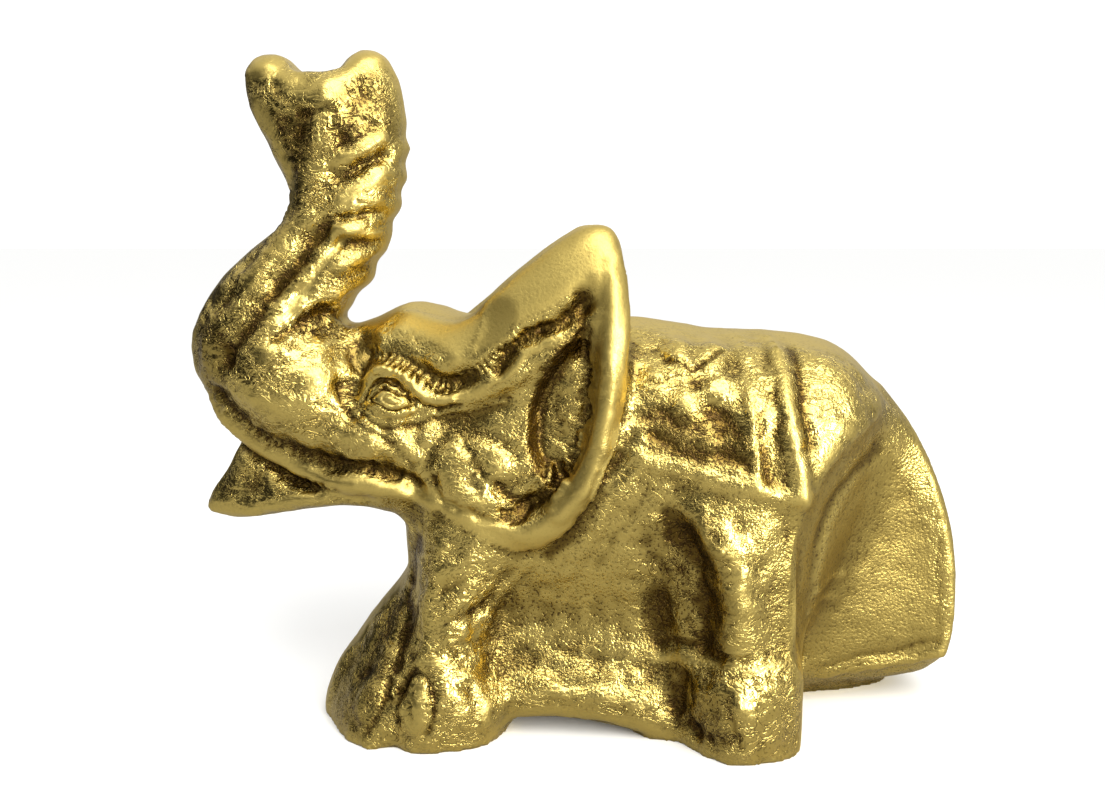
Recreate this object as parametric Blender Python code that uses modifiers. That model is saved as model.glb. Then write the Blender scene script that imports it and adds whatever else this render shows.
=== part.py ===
"""Brass elephant figurine: one solid sand casting, walking, with its trunk raised.

Frame: metres, +Z up, the elephant faces -X and its left side faces -Y. The soles stand on z = 0
and the origin is the centre of the bounding box at that level.

The figure's proportions are hundredths of its height, so a point (x, y, z) of a table below is
that many shares of HEIGHT from the middle of the length, the middle plane and the ground.
"""

import bpy
import bmesh
import numpy as np

# Driving dimensions, in metres.
HEIGHT = 0.090
VOXEL = 0.00075

SHARE = HEIGHT / 100.0
FACE_LIMIT = 9200
RING_POINTS = 28
STEPS = 5
BODY_FILLET_PASSES = 20
HEAD_FILLET_PASSES = 8
NAME = "elephant_figurine"

# Lofts that run along the figure. A row is one section: the two edge points (x, z), (x, z) that the
# side view shows, then the middle y and the half thickness across.
TRUNK = [
    (-38.0, 38.5, -27.0, 53.0, 0.0, 9.0),
    (-51.0, 43.6, -30.0, 58.0, 0.0, 9.6),
    (-56.2, 50.4, -35.0, 60.6, 0.0, 9.4),
    (-58.4, 55.6, -36.0, 62.0, 0.0, 9.0),
    (-57.6, 61.2, -34.2, 63.4, 0.0, 8.6),
    (-53.9, 67.2, -31.1, 67.4, 0.0, 8.0),
    (-48.9, 71.9, -29.2, 71.4, 0.0, 7.4),
    (-43.9, 75.8, -27.7, 75.2, 0.0, 7.0),
    (-42.8, 79.8, -26.4, 79.1, 0.0, 6.8),
    (-44.5, 83.3, -25.6, 83.0, 0.0, 6.7),
    (-46.1, 87.0, -25.2, 86.8, 0.0, 6.5),
    (-47.9, 90.6, -25.8, 90.9, 0.0, 6.2),
    (-49.1, 94.2, -26.3, 95.0, 0.0, 5.7),
    (-48.5, 96.5, -27.0, 96.9, 0.0, 4.6),
]
LOWER_JAW = [
    (-57.6, 31.9, -57.8, 33.9, 0.0, 1.8),
    (-54.6, 31.1, -54.6, 35.0, 0.0, 2.9),
    (-51.0, 30.9, -51.0, 35.8, 0.0, 4.4),
    (-46.0, 31.9, -45.0, 36.8, 0.0, 6.2),
    (-40.0, 32.9, -39.0, 39.0, 0.0, 8.0),
    (-34.0, 33.4, -33.0, 42.0, 0.0, 9.4),
    (-26.0, 31.6, -25.0, 46.0, 0.0, 10.2),
]
MOUTH_WEB = [
    (-56.6, 32.5, -56.8, 35.4, 0.0, 1.9),
    (-54.6, 32.5, -53.9, 39.0, 0.0, 2.6),
    (-52.6, 32.5, -51.6, 43.2, 0.0, 3.4),
    (-46.0, 32.8, -46.0, 46.0, 0.0, 4.6),
    (-39.0, 33.6, -38.0, 46.0, 0.0, 6.4),
]
HEAD = [
    (-41.0, 41.0, -39.5, 55.5, 0.0, 8.4),
    (-36.5, 38.0, -35.5, 60.0, 0.0, 9.8),
    (-31.0, 35.0, -31.0, 61.6, 0.0, 10.8),
    (-25.0, 32.6, -25.0, 64.2, 0.0, 11.2),
    (-18.0, 30.0, -18.0, 62.4, 0.0, 11.3),
    (-10.0, 27.0, -10.0, 61.6, 0.0, 11.5),
    (2.0, 25.0, 2.0, 61.0, 0.0, 11.0),
]
# The barrel, belly web and base, one row to a station: x, the lowest and highest z, the middle y and the
# half width at the widest.
BARREL = [
    (-26.8, 22.0, 38.0, 0.0, 5.4),
    (-24.0, 10.0, 47.0, 0.0, 8.6),
    (-20.0, 2.0, 52.0, 0.0, 10.8),
    (-12.0, 2.0, 58.0, 0.0, 12.8),
    (-4.0, 2.1, 60.6, 0.0, 13.8),
    (4.0, 1.2, 62.0, 0.0, 14.6),
    (9.0, 0.0, 62.0, 0.0, 15.2),
    (14.0, -1.2, 61.2, 0.0, 15.8),
    (20.0, -1.4, 60.2, 0.0, 16.4),
    (27.0, -1.0, 60.1, 0.0, 16.4),
    (33.0, 14.0, 59.4, 0.2, 15.8),
    (38.0, 28.0, 57.8, 1.2, 14.4),
    (42.2, 33.6, 54.7, 3.6, 12.0),
    (46.6, 36.4, 49.4, 6.0, 10.4),
    (50.4, 35.0, 43.8, 7.2, 8.8),
    (53.8, 31.0, 37.2, 7.0, 6.6),
]
# The barrel's outline in cross section: the share of its height, and the share of its half width.
BARREL_PROFILE = [
    (0.0, 0.0), (0.0, 0.60), (0.012, 0.80), (0.04, 0.84), (0.09, 0.77), (0.17, 0.68), (0.26, 0.67), (0.36, 0.74),
    (0.47, 0.88), (0.58, 0.98), (0.68, 1.0), (0.79, 0.93), (0.89, 0.76), (0.96, 0.48), (1.0, 0.0),
]
# The legs, one row to a level: z, then the corners (x, y) of the section in order round it.
LEFT_FRONT_LEG = [
    (38.0, (-22.6, -6.0), (-20.5, -10.2), (-15.0, -11.6), (-7.0, -11.6), (-2.0, -7.0), (-8.0, 3.0), (-20.0, 3.0)),
    (28.0, (-24.4, -6.4), (-22.2, -11.6), (-17.0, -13.0), (-11.0, -11.6), (-6.0, -7.0), (-10.0, 3.0), (-22.0, 3.0)),
    (20.0, (-25.2, -7.0), (-23.2, -12.2), (-19.2, -13.4), (-14.8, -11.0), (-11.0, -7.0), (-14.0, 3.0), (-23.0, 3.0)),
    (14.0, (-26.2, -7.4), (-24.4, -12.6), (-20.2, -14.0), (-16.0, -11.4), (-13.0, -7.0), (-15.0, 3.0), (-24.0, 3.0)),
    (9.5, (-27.6, -8.0), (-25.6, -14.2), (-20.6, -15.8), (-15.4, -12.8), (-12.6, -7.0), (-16.0, 3.0), (-25.0, 3.0)),
    (5.0, (-28.2, -8.6), (-26.4, -15.0), (-20.6, -16.2), (-14.4, -14.0), (-11.6, -7.0), (-16.0, 3.0), (-25.0, 3.0)),
    (-3.0, (-28.2, -8.8), (-26.4, -15.0), (-20.6, -16.2), (-14.0, -14.0), (-11.4, -7.0), (-16.0, 3.0), (-25.0, 3.0)),
]
RIGHT_FRONT_LEG = [
    (38.0, (-27.0, 2.0), (-25.0, -3.0), (-20.0, -6.0), (-10.0, -4.0), (-4.0, 4.0), (-8.0, 11.0), (-22.0, 9.6)),
    (31.0, (-27.6, 2.0), (-26.6, -3.0), (-22.0, -7.0), (-12.0, -4.0), (-6.0, 4.0), (-10.0, 12.0), (-23.0, 10.6)),
    (26.0, (-25.7, 2.4), (-25.0, -3.0), (-23.0, -7.0), (-14.0, -5.0), (-9.0, 4.0), (-14.0, 12.6), (-22.0, 11.4)),
    (21.0, (-28.2, 3.0), (-27.0, -3.0), (-24.0, -7.4), (-16.0, -5.0), (-12.0, 4.0), (-16.0, 13.0), (-24.0, 12.0)),
    (17.0, (-31.5, 3.0), (-30.2, -3.2), (-25.4, -7.8), (-16.0, -5.0), (-13.0, 4.0), (-17.0, 13.2), (-26.0, 12.8)),
    (13.5, (-34.0, 3.0), (-32.6, -3.8), (-27.0, -9.4), (-16.0, -6.0), (-14.0, 4.0), (-18.0, 13.4), (-28.0, 13.2)),
    (9.8, (-36.4, 3.0), (-35.0, -4.4), (-28.8, -11.6), (-17.0, -6.0), (-14.5, 4.0), (-19.0, 13.8), (-30.4, 14.0)),
    (5.8, (-38.3, 3.0), (-37.2, -5.2), (-30.4, -13.6), (-17.0, -6.0), (-15.0, 4.0), (-20.0, 14.4), (-32.2, 15.0)),
    (1.4, (-39.6, 3.0), (-38.7, -5.8), (-31.2, -14.8), (-18.0, -6.0), (-15.0, 4.0), (-20.0, 14.8), (-33.2, 15.6)),
    (-3.0, (-39.6, 3.0), (-38.7, -6.0), (-31.2, -15.0), (-18.0, -6.0), (-15.0, 4.0), (-20.0, 14.8), (-33.2, 15.6)),
]
LEFT_HIND_LEG = [
    (54.0, (18.0, -8.0), (24.0, -12.6), (31.0, -12.6), (37.4, -9.6), (38.6, -5.0), (32.0, 3.0), (20.0, 3.0)),
    (49.0, (14.0, -9.0), (20.0, -15.0), (30.0, -15.8), (38.6, -12.6), (41.4, -5.0), (34.0, 3.0), (18.0, 3.0)),
    (43.0, (11.0, -9.4), (17.0, -16.2), (27.0, -17.2), (35.0, -15.0), (38.6, -4.0), (32.0, 3.0), (14.0, 3.0)),
    (37.0, (9.6, -9.4), (15.2, -16.4), (24.6, -17.8), (31.0, -16.0), (34.4, -3.0), (30.0, 3.0), (12.0, 3.0)),
    (30.6, (9.4, -8.8), (17.6, -17.0), (23.6, -18.2), (30.0, -16.2), (32.0, -3.0), (29.0, 3.0), (12.0, 3.0)),
    (21.0, (10.2, -8.6), (19.4, -17.0), (23.6, -17.8), (30.0, -16.0), (31.6, -3.0), (29.0, 3.0), (12.0, 3.0)),
    (15.0, (11.0, -8.8), (20.2, -16.6), (24.2, -17.4), (30.4, -15.6), (31.8, -3.0), (29.0, 3.0), (12.0, 3.0)),
    (13.6, (11.8, -9.2), (20.2, -17.0), (24.2, -17.8), (30.6, -15.8), (32.0, -3.0), (29.0, 3.0), (12.0, 3.0)),
    (12.0, (13.2, -10.8), (19.2, -19.0), (24.4, -19.6), (31.0, -17.2), (32.2, -3.0), (29.0, 3.0), (13.0, 3.0)),
    (6.0, (14.4, -11.2), (19.2, -18.8), (24.6, -19.4), (31.0, -17.2), (32.2, -3.0), (29.0, 3.0), (14.0, 3.0)),
    (-3.0, (14.6, -11.0), (19.4, -18.6), (24.6, -19.2), (31.0, -17.0), (32.2, -3.0), (29.0, 3.0), (14.0, 3.0)),
]
RIGHT_HIND_LEG = [
    (50.0, (28.0, 0.0), (38.0, -0.4), (44.4, 1.4), (45.6, 5.0), (44.8, 12.0), (38.0, 16.0), (28.0, 15.0)),
    (45.0, (28.0, -0.6), (40.0, -0.8), (48.3, 0.6), (49.7, 5.0), (48.2, 13.0), (40.0, 17.0), (28.0, 16.0)),
    (40.0, (28.0, -0.8), (42.0, -1.0), (51.4, 0.2), (52.7, 5.0), (51.0, 14.0), (42.0, 17.8), (28.0, 16.8)),
    (33.0, (28.0, -0.8), (44.0, -1.0), (54.3, 0.2), (55.9, 5.0), (54.0, 14.0), (44.0, 18.4), (28.0, 17.2)),
    (26.0, (28.0, -0.8), (45.0, -1.0), (55.9, 0.2), (57.7, 5.0), (55.8, 14.2), (45.0, 18.6), (28.0, 17.4)),
    (18.0, (28.0, -0.8), (45.0, -1.0), (56.7, 0.2), (58.5, 5.0), (56.4, 14.4), (45.0, 18.8), (28.0, 17.6)),
    (10.0, (28.0, -0.8), (45.0, -0.9), (56.7, 0.2), (58.7, 5.0), (56.6, 14.8), (45.0, 19.2), (28.0, 18.0)),
    (6.6, (28.0, -0.4), (45.0, -0.2), (56.6, 0.9), (58.4, 5.4), (56.0, 15.0), (45.0, 19.4), (28.0, 18.2)),
    (3.6, (28.0, 1.2), (43.0, 1.3), (52.8, 2.8), (56.0, 7.0), (53.4, 15.2), (44.0, 19.4), (28.0, 18.2)),
    (1.2, (28.0, 4.0), (41.0, 4.4), (49.0, 6.6), (52.4, 9.8), (50.6, 15.6), (43.0, 19.2), (28.0, 18.2)),
    (-3.0, (28.0, 5.8), (39.0, 6.4), (46.0, 8.6), (49.0, 11.2), (48.4, 15.8), (42.0, 18.8), (28.0, 17.8)),
]
TAIL = [
    (43.4, 50.2, 45.0, 52.2, 0.2, 1.3),
    (47.2, 44.8, 49.9, 46.0, 0.2, 1.8),
    (51.2, 37.2, 54.2, 38.2, 0.2, 1.9),
    (54.4, 28.0, 57.5, 28.4, 0.2, 1.9),
    (55.2, 19.0, 58.6, 19.0, 0.2, 2.0),
    (55.2, 12.0, 58.5, 12.0, 0.4, 2.2),
    (54.6, 7.6, 57.8, 8.0, 0.6, 2.0),
]
# The thick roll along the top of the ear, from behind the brow to the tip.
EAR_ROLL = [
    (-22.0, 53.4, -21.2, 60.2, 7.6, 3.6),
    (-16.6, 53.6, -17.0, 61.8, 8.8, 3.8),
    (-11.2, 54.8, -12.9, 66.1, 9.6, 4.0),
    (-5.4, 58.0, -8.0, 70.1, 10.0, 4.0),
    (-0.8, 61.8, -3.3, 73.6, 10.4, 3.8),
    (2.8, 65.2, 1.2, 75.8, 10.8, 3.2),
    (4.8, 67.4, 4.6, 74.2, 10.8, 2.2),
]
# The two lips of the trunk's tip, as (x, y, z) of the centre and the three half sizes.
TRUNK_LIPS = [
    (-45.0, 0.0, 96.1, 4.2, 4.6, 3.6),
    (-31.2, 0.0, 96.5, 4.0, 4.6, 3.8),
]
# The squareness of each loft's section: 2 is an ellipse, more is boxier.
FORE_LOFTS = [(TRUNK, 2.3), (LOWER_JAW, 2.3), (MOUTH_WEB, 3.0), (HEAD, 2.3)]
LEGS = [LEFT_FRONT_LEG, RIGHT_FRONT_LEG, LEFT_HIND_LEG, RIGHT_HIND_LEG]

# The ear's outline in the side view, from its root over the top and down the free edge.
EAR_OUTLINE = [
    (-20.0, 60.0), (-12.4, 66.1), (-6.6, 71.0), (-1.6, 74.5), (2.2, 75.7), (4.6, 74.2), (5.7, 69.6), (6.4, 64.0),
    (6.2, 58.0), (5.2, 51.0), (3.7, 43.9), (1.3, 37.6), (-2.4, 32.4), (-6.1, 29.6), (-9.9, 29.1), (-13.9, 30.5),
    (-18.0, 33.0), (-23.0, 35.6), (-27.0, 40.0), (-27.4, 47.0), (-25.4, 53.4),
]
EAR_CENTRE = (-9.0, 50.0)
EAR_THICKNESS = 6.4
EAR_ROOT_X = -21.0
EAR_ROOT_OUT = 10.9
EAR_FLARE = 0.21
EAR_TOP_Z = 56.0
EAR_TOP_LEAN = 0.2
# The sunken face inside the rim, and the deep hollow within it.
EAR_FACE = [
    (-24.0, 51.4), (-18.3, 50.2), (-14.5, 51.6), (-10.5, 53.6), (-5.4, 57.2), (-1.4, 61.0), (1.6, 63.4), (2.6, 60.6),
    (2.6, 51.4), (1.2, 44.7), (-1.6, 39.0), (-5.2, 34.6), (-9.4, 32.8), (-13.0, 34.0), (-18.2, 37.4), (-22.4, 40.6),
    (-26.6, 45.0),
]
EAR_HOLLOW = [
    (-2.2, 60.2), (-5.2, 56.2), (-8.0, 52.4), (-9.0, 48.3), (-8.8, 42.8), (-6.3, 39.6), (-2.2, 39.6), (0.6, 44.7),
    (1.6, 51.2), (1.6, 58.8),
]
EAR_FACE_DEPTH = 1.5
EAR_HOLLOW_DEPTH = 2.4

# Carving that shows from a step away, drawn in the side view. Each stroke is (line, half width, rise): a rise
# above zero is a ridge and one below zero a groove.
BODY_STROKES = [
    # The border of the saddle cloth under the flank.
    ([(7.0, 43.6), (13.1, 41.9), (18.7, 40.4), (23.3, 39.5), (29.4, 37.6)], 1.6, 0.8),
    # The two straps down the cloth's rear edge and the groove between them.
    ([(22.8, 60.4), (23.0, 52.0), (23.4, 45.0), (23.8, 39.6)], 1.2, 0.9),
    ([(27.0, 59.8), (27.4, 52.0), (28.4, 45.0), (29.6, 38.0)], 1.3, 1.0),
    ([(25.0, 59.8), (25.2, 52.0), (25.8, 45.0), (26.6, 39.0)], 0.9, -0.6),
    # The step from the cloth's rear edge down to the thigh.
    ([(29.4, 59.0), (29.8, 52.0), (30.8, 45.0)], 1.1, -0.5),
]
# The groove between the left thigh's rolled rear edge and the inner face of the right hind leg.
THIGH_STROKES = [
    ([(46.4, 41.6), (42.6, 39.4), (38.4, 37.4), (35.0, 34.4), (33.0, 30.4), (32.4, 24.6), (32.6, 15.0), (33.4, 8.0)],
     2.0, -1.1),
    ([(42.0, 48.0), (38.6, 45.4), (34.6, 42.2), (31.6, 38.6), (29.8, 34.0), (28.9, 28.0), (28.9, 19.0), (29.2, 13.0)],
     1.6, 0.6),
]
HEAD_STROKES = [
    # The mouth's line and the rolled lip above it.
    ([(-52.6, 42.6), (-47.4, 40.2), (-42.6, 37.6), (-37.0, 36.2), (-31.0, 35.8)], 1.2, -1.1),
    ([(-55.4, 48.6), (-50.4, 44.2), (-43.0, 40.2), (-36.0, 38.4), (-28.0, 37.4), (-22.0, 35.0)], 1.6, 0.7),
    # The wrinkled groove above the lip.
    ([(-53.6, 52.0), (-48.0, 47.6), (-42.0, 44.4), (-34.0, 42.0), (-27.0, 40.2)], 1.5, -0.7),
    # The crease from the trunk's side down to the cheek.
    ([(-36.4, 76.0), (-40.4, 71.8), (-45.6, 66.1), (-50.1, 60.4), (-52.0, 55.0)], 1.5, -0.8),
    # The upper lid, which runs back as the lower edge of the ear's roll.
    ([(-31.8, 51.2), (-30.3, 54.0), (-28.1, 54.9), (-25.6, 54.0), (-23.6, 51.8), (-21.6, 50.7), (-18.3, 50.8)], 0.9, 0.9),
    # The hollow between the lid and the brow.
    ([(-33.6, 52.0), (-31.6, 56.6), (-27.6, 57.8), (-23.6, 56.0), (-20.6, 53.2), (-16.0, 53.2)], 1.7, -1.0),
]
TRUNK_RINGS = [
    [(-35.4, 83.0), (-30.0, 85.2), (-24.6, 88.8)],
    [(-35.6, 78.9), (-30.0, 81.2), (-24.8, 84.9)],
    [(-35.6, 75.3), (-31.0, 77.4), (-25.4, 80.7)],
    [(-36.4, 72.0), (-31.6, 73.8), (-26.4, 76.3)],
    [(-37.2, 67.0), (-33.0, 68.6), (-28.6, 70.2)],
    [(-38.6, 63.4), (-35.0, 64.2), (-31.0, 65.6)],
]
RING_WIDTH = 1.5
RING_DEPTH = 0.7
# Round and oval forms: (x, z, half x, half z, rise).
HEAD_BOSSES = [
    (-27.6, 51.0, 4.4, 3.0, -0.8),
    (-27.4, 50.7, 2.4, 1.8, 1.6),
    (-33.4, 55.0, 2.6, 5.0, -1.6),
    (-42.0, 53.4, 7.0, 5.4, 0.9),
    (-22.0, 60.0, 5.6, 3.6, 0.8),
]
CLOTH_BOSSES = [
    (10.2, 53.6, 2.0, 2.0, 0.8),
    (13.4, 57.2, 2.0, 2.0, 0.8),
    (18.0, 57.0, 2.0, 2.0, 0.8),
    (18.2, 52.8, 2.0, 2.0, 0.8),
    (14.0, 50.6, 2.0, 2.0, 0.8),
    (14.8, 54.2, 1.6, 1.6, 0.9),
]
CHEEK_LUMPS = [
    (-16.4, 40.4, 5.4, 3.6, 1.0),
    (-12.6, 36.2, 3.6, 2.4, 0.7),
]
# Toes: the middle of each nail's arc on the ground, as (x, y), with the way it faces in degrees from +X.
TOES = [
    (-24.2, -16.4, -98), (-28.0, -11.6, -160),
    (-40.2, -1.6, 190), (-40.6, 4.6, 178), (-37.6, 11.6, 150),
    (21.4, -20.2, -96), (16.4, -15.6, -150),
]
TOE_TOP = 10.5
TOE_HALF_WIDTH = 3.0
TOE_RISE = 0.6


def share_rows(rows):
    """A table of shares as an array in metres."""
    return np.array(rows, float) * SHARE


def smooth_rows(rows, steps, closed=False):
    """Catmull-Rom curve through the rows, steps points to each span."""
    rows = np.asarray(rows, float)
    if closed:
        padded = np.concatenate([rows[-1:], rows, rows[:2]])
    else:
        padded = np.concatenate([rows[:1], rows, rows[-1:]])
    a, b, c, d = padded[:-3, None], padded[1:-2, None], padded[2:-1, None], padded[3:, None]
    t = np.linspace(0, 1, steps, endpoint=False).reshape((1, steps) + (1,) * (rows.ndim - 1))
    curve = 0.5 * (2 * b + (c - a) * t + (2 * a - 5 * b + 4 * c - d) * t**2 + (3 * b - a - 3 * c + d) * t**3)
    curve = curve.reshape((-1,) + rows.shape[1:])
    return curve if closed else np.concatenate([curve, rows[-1:]])


def add_rings(bm, rings):
    """Skins a list of equal rings of points into one closed shell, with a flat cap at each end."""
    made = [[bm.verts.new(p) for p in ring] for ring in rings]
    count = len(made[0])
    for low, high in zip(made, made[1:]):
        for i in range(count):
            j = (i + 1) % count
            bm.faces.new((low[i], low[j], high[j], high[i]))
    bm.faces.new(made[0][::-1])
    bm.faces.new(made[-1])


def add_loft(bm, rows, squareness):
    """A limb: superellipse sections that span two edge points of the side view."""
    angle = np.linspace(0, 2 * np.pi, RING_POINTS, endpoint=False)
    power = 2.0 / squareness
    along = np.sign(np.cos(angle)) * np.abs(np.cos(angle)) ** power
    across = np.sign(np.sin(angle)) * np.abs(np.sin(angle)) ** power
    rings = []
    for xa, za, xb, zb, y_mid, thick in smooth_rows(share_rows(rows), STEPS):
        x = (xa + xb) / 2 + along * (xb - xa) / 2
        z = (za + zb) / 2 + along * (zb - za) / 2
        rings.append(np.stack([x, y_mid + across * thick, z], axis=1))
    add_rings(bm, rings)


def add_barrel(bm):
    """The body, from upright cross sections of one outline: base rim, hollowed web, full flanks and back."""
    right = smooth_rows(np.array(BARREL_PROFILE), 3)
    outline = np.concatenate([right, (right * (1.0, -1.0))[-2:0:-1]])
    rings = []
    for x, low, high, y_mid, half in smooth_rows(share_rows(BARREL), STEPS):
        y = y_mid + outline[:, 1] * half
        rings.append(np.stack([np.full(len(y), x), y, low + outline[:, 0] * (high - low)], axis=1))
    add_rings(bm, rings)


def add_leg(bm, rows):
    """A leg, from level sections through their corner points."""
    levels = [[(x, y, row[0]) for x, y in row[1:]] for row in rows]
    rings = [smooth_rows(ring, STEPS, closed=True) for ring in smooth_rows(share_rows(levels), STEPS)]
    add_rings(bm, rings)


def ear_out(x, z):
    """How far the ear's face stands from the middle plane: it flares to the rear and leans in above."""
    return EAR_ROOT_OUT + EAR_FLARE * (x - EAR_ROOT_X) - EAR_TOP_LEAN * np.maximum(z - EAR_TOP_Z, 0)


def add_ear(bm, side):
    """A slab with a rolled rim, as rings of the ear's outline that shrink towards its centre."""
    outline = smooth_rows(np.array(EAR_OUTLINE), 3, closed=True)
    centre = np.array(EAR_CENTRE)
    # Each row is the ring's share of the outline's size, and how deep it lies under the outer face.
    ring_rows = [(0.3, 0.0), (0.72, 0.0), (0.90, 0.0), (0.97, 0.2), (1.0, 0.5), (0.97, 0.8), (0.9, 1.0), (0.3, 1.3)]
    rings = []
    for scale, depth in ring_rows:
        flat = centre + (outline - centre) * scale
        y = side * (ear_out(flat[:, 0], flat[:, 1]) - depth * EAR_THICKNESS)
        rings.append(np.stack([flat[:, 0], y, flat[:, 1]], axis=1) * SHARE)
    add_rings(bm, rings)


def add_lip(bm, x, y, z, half_x, half_y, half_z):
    made = bmesh.ops.create_uvsphere(bm, u_segments=24, v_segments=14, radius=1.0)["verts"]
    bmesh.ops.scale(bm, vec=(half_x * SHARE, half_y * SHARE, half_z * SHARE), verts=made)
    bmesh.ops.translate(bm, vec=(x * SHARE, y * SHARE, z * SHARE), verts=made)


def to_mesh(bm):
    bmesh.ops.recalc_face_normals(bm, faces=bm.faces)
    mesh = bpy.data.meshes.new(NAME + "_shells")
    bm.to_mesh(mesh)
    bm.free()
    return mesh


def body_mesh():
    """The barrel and the legs with wide, soft fillets between them."""
    bm = bmesh.new()
    add_barrel(bm)
    for rows in LEGS:
        add_leg(bm, rows)
    fused = with_modifier(to_mesh(bm), "REMESH", mode="VOXEL", voxel_size=VOXEL)
    return with_modifier(fused, "SMOOTH", factor=0.5, iterations=BODY_FILLET_PASSES)


def casting_mesh():
    """The body with the head, trunk, jaw, ears and tail, fused with tighter fillets."""
    bm = bmesh.new()
    for rows, squareness in FORE_LOFTS:
        add_loft(bm, rows, squareness)
    add_loft(bm, TAIL, 2.0)
    for side in (-1, 1):
        add_ear(bm, side)
        add_loft(bm, [row[:4] + (side * row[4], row[5]) for row in EAR_ROLL], 2.0)
    for lip in TRUNK_LIPS:
        add_lip(bm, *lip)
    bmesh.ops.recalc_face_normals(bm, faces=bm.faces)
    bm.from_mesh(body_mesh())
    fused = with_modifier(to_mesh(bm), "REMESH", mode="VOXEL", voxel_size=VOXEL)
    return with_modifier(fused, "SMOOTH", factor=0.5, iterations=HEAD_FILLET_PASSES)


def smooth_step(value):
    """0 below 0, 1 above 1 and an even curve between them."""
    value = np.clip(value, 0.0, 1.0)
    return value * value * (3.0 - 2.0 * value)


def line_distance(points, line, closed=False):
    """The distance of each point (x, z) from a polyline."""
    line = np.array(line, float)
    ends = np.roll(line, -1, axis=0) if closed else line[1:]
    starts = line if closed else line[:-1]
    best = np.full(len(points), np.inf)
    for a, b in zip(starts, ends):
        run = b - a
        share = np.clip((points - a) @ run / (run @ run), 0.0, 1.0)
        best = np.minimum(best, np.linalg.norm(points - a - share[:, None] * run, axis=1))
    return best


def inside(points, outline):
    """True for each point (x, z) inside a closed outline."""
    x, z = points.T
    result = np.zeros(len(points), bool)
    line = np.array(outline, float)
    for (xa, za), (xb, zb) in zip(line, np.roll(line, -1, axis=0)):
        crosses = (za > z) != (zb > z)
        rise = zb - za if zb != za else 1.0
        result ^= crosses & (x < (xb - xa) * (z - za) / rise + xa)
    return result


def depth_inside(points, outline):
    """How far each point lies inside a smooth closed outline, below zero outside it."""
    line = smooth_rows(np.array(outline), 3, closed=True)
    return line_distance(points, line, closed=True) * np.where(inside(points, line), 1.0, -1.0)


def stroke(points, line, half_width, rise):
    line = smooth_rows(np.array(line, float), 4)
    return rise * smooth_step(1.0 - line_distance(points, line) / half_width)


def boss(points, x, z, half_x, half_z, rise):
    away = np.hypot((points[:, 0] - x) / half_x, (points[:, 1] - z) / half_z)
    return rise * smooth_step(1.5 - away)


def carving(spots, normals):
    """How far each point of the skin moves out along its normal, in shares."""
    view = spots[:, [0, 2]]
    side = smooth_step((np.abs(normals[:, 1]) - 0.1) / 0.4)
    ear = inside(view, EAR_OUTLINE) * (np.abs(spots[:, 1]) > ear_out(view[:, 0], view[:, 1]) - 3.4)
    body = side * (1.0 - ear) * (view[:, 0] > -20.0)
    head = side * (view[:, 0] < -14.0)
    moved = toes(spots)
    for line, half_width, rise in BODY_STROKES:
        moved += body * stroke(view, line, half_width, rise)
    for row in CLOTH_BOSSES:
        moved += body * boss(view, *row)
    for line, half_width, rise in THIGH_STROKES:
        moved += body * (spots[:, 1] < 3.0) * stroke(view, line, half_width, rise)
    for line, half_width, rise in HEAD_STROKES:
        moved += head * stroke(view, line, half_width, rise)
    for row in HEAD_BOSSES:
        moved += head * boss(view, *row)
    for line in TRUNK_RINGS:
        moved -= RING_DEPTH * stroke(view, line, RING_WIDTH, 1.0)
    moved -= ear * side * EAR_FACE_DEPTH * smooth_step(depth_inside(view, EAR_FACE) / 1.8)
    moved -= ear * side * EAR_HOLLOW_DEPTH * smooth_step(depth_inside(view, EAR_HOLLOW) / 2.6)
    for row in CHEEK_LUMPS:
        moved += ear * side * boss(view, *row)
    return moved


def toes(spots):
    """The nails' rise, each an upright oval that fades out above."""
    x, y, z = spots.T
    moved = np.zeros(len(spots))
    for toe_x, toe_y, faces in TOES:
        turn = np.radians(faces)
        across = -(x - toe_x) * np.sin(turn) + (y - toe_y) * np.cos(turn)
        away = (x - toe_x) * np.cos(turn) + (y - toe_y) * np.sin(turn)
        oval = np.hypot(across / TOE_HALF_WIDTH, (z - 3.0) / (TOE_TOP - 3.0))
        moved = np.maximum(moved, TOE_RISE * smooth_step((1.15 - oval) / 0.4) * (np.abs(away) < 5.0))
    return moved


def vectors_of(layer, field):
    values = np.empty(len(layer) * 3)
    layer.foreach_get(field, values)
    return values.reshape(-1, 3)


def with_modifier(mesh, kind, **settings):
    """The mesh after one modifier, as new mesh data."""
    holder = bpy.data.objects.new(NAME + "_step", mesh)
    bpy.context.scene.collection.objects.link(holder)
    modifier = holder.modifiers.new(kind, kind)
    for key, value in settings.items():
        setattr(modifier, key, value)
    graph = bpy.context.evaluated_depsgraph_get()
    made = bpy.data.meshes.new_from_object(holder.evaluated_get(graph))
    bpy.data.objects.remove(holder)
    return made


def carve(mesh):
    spots = vectors_of(mesh.vertices, "co") / SHARE
    normals = vectors_of(mesh.vertex_normals, "vector")
    spots += normals * carving(spots, normals)[:, None]
    mesh.vertices.foreach_set("co", (spots * SHARE).ravel())
    mesh.update()


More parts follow.
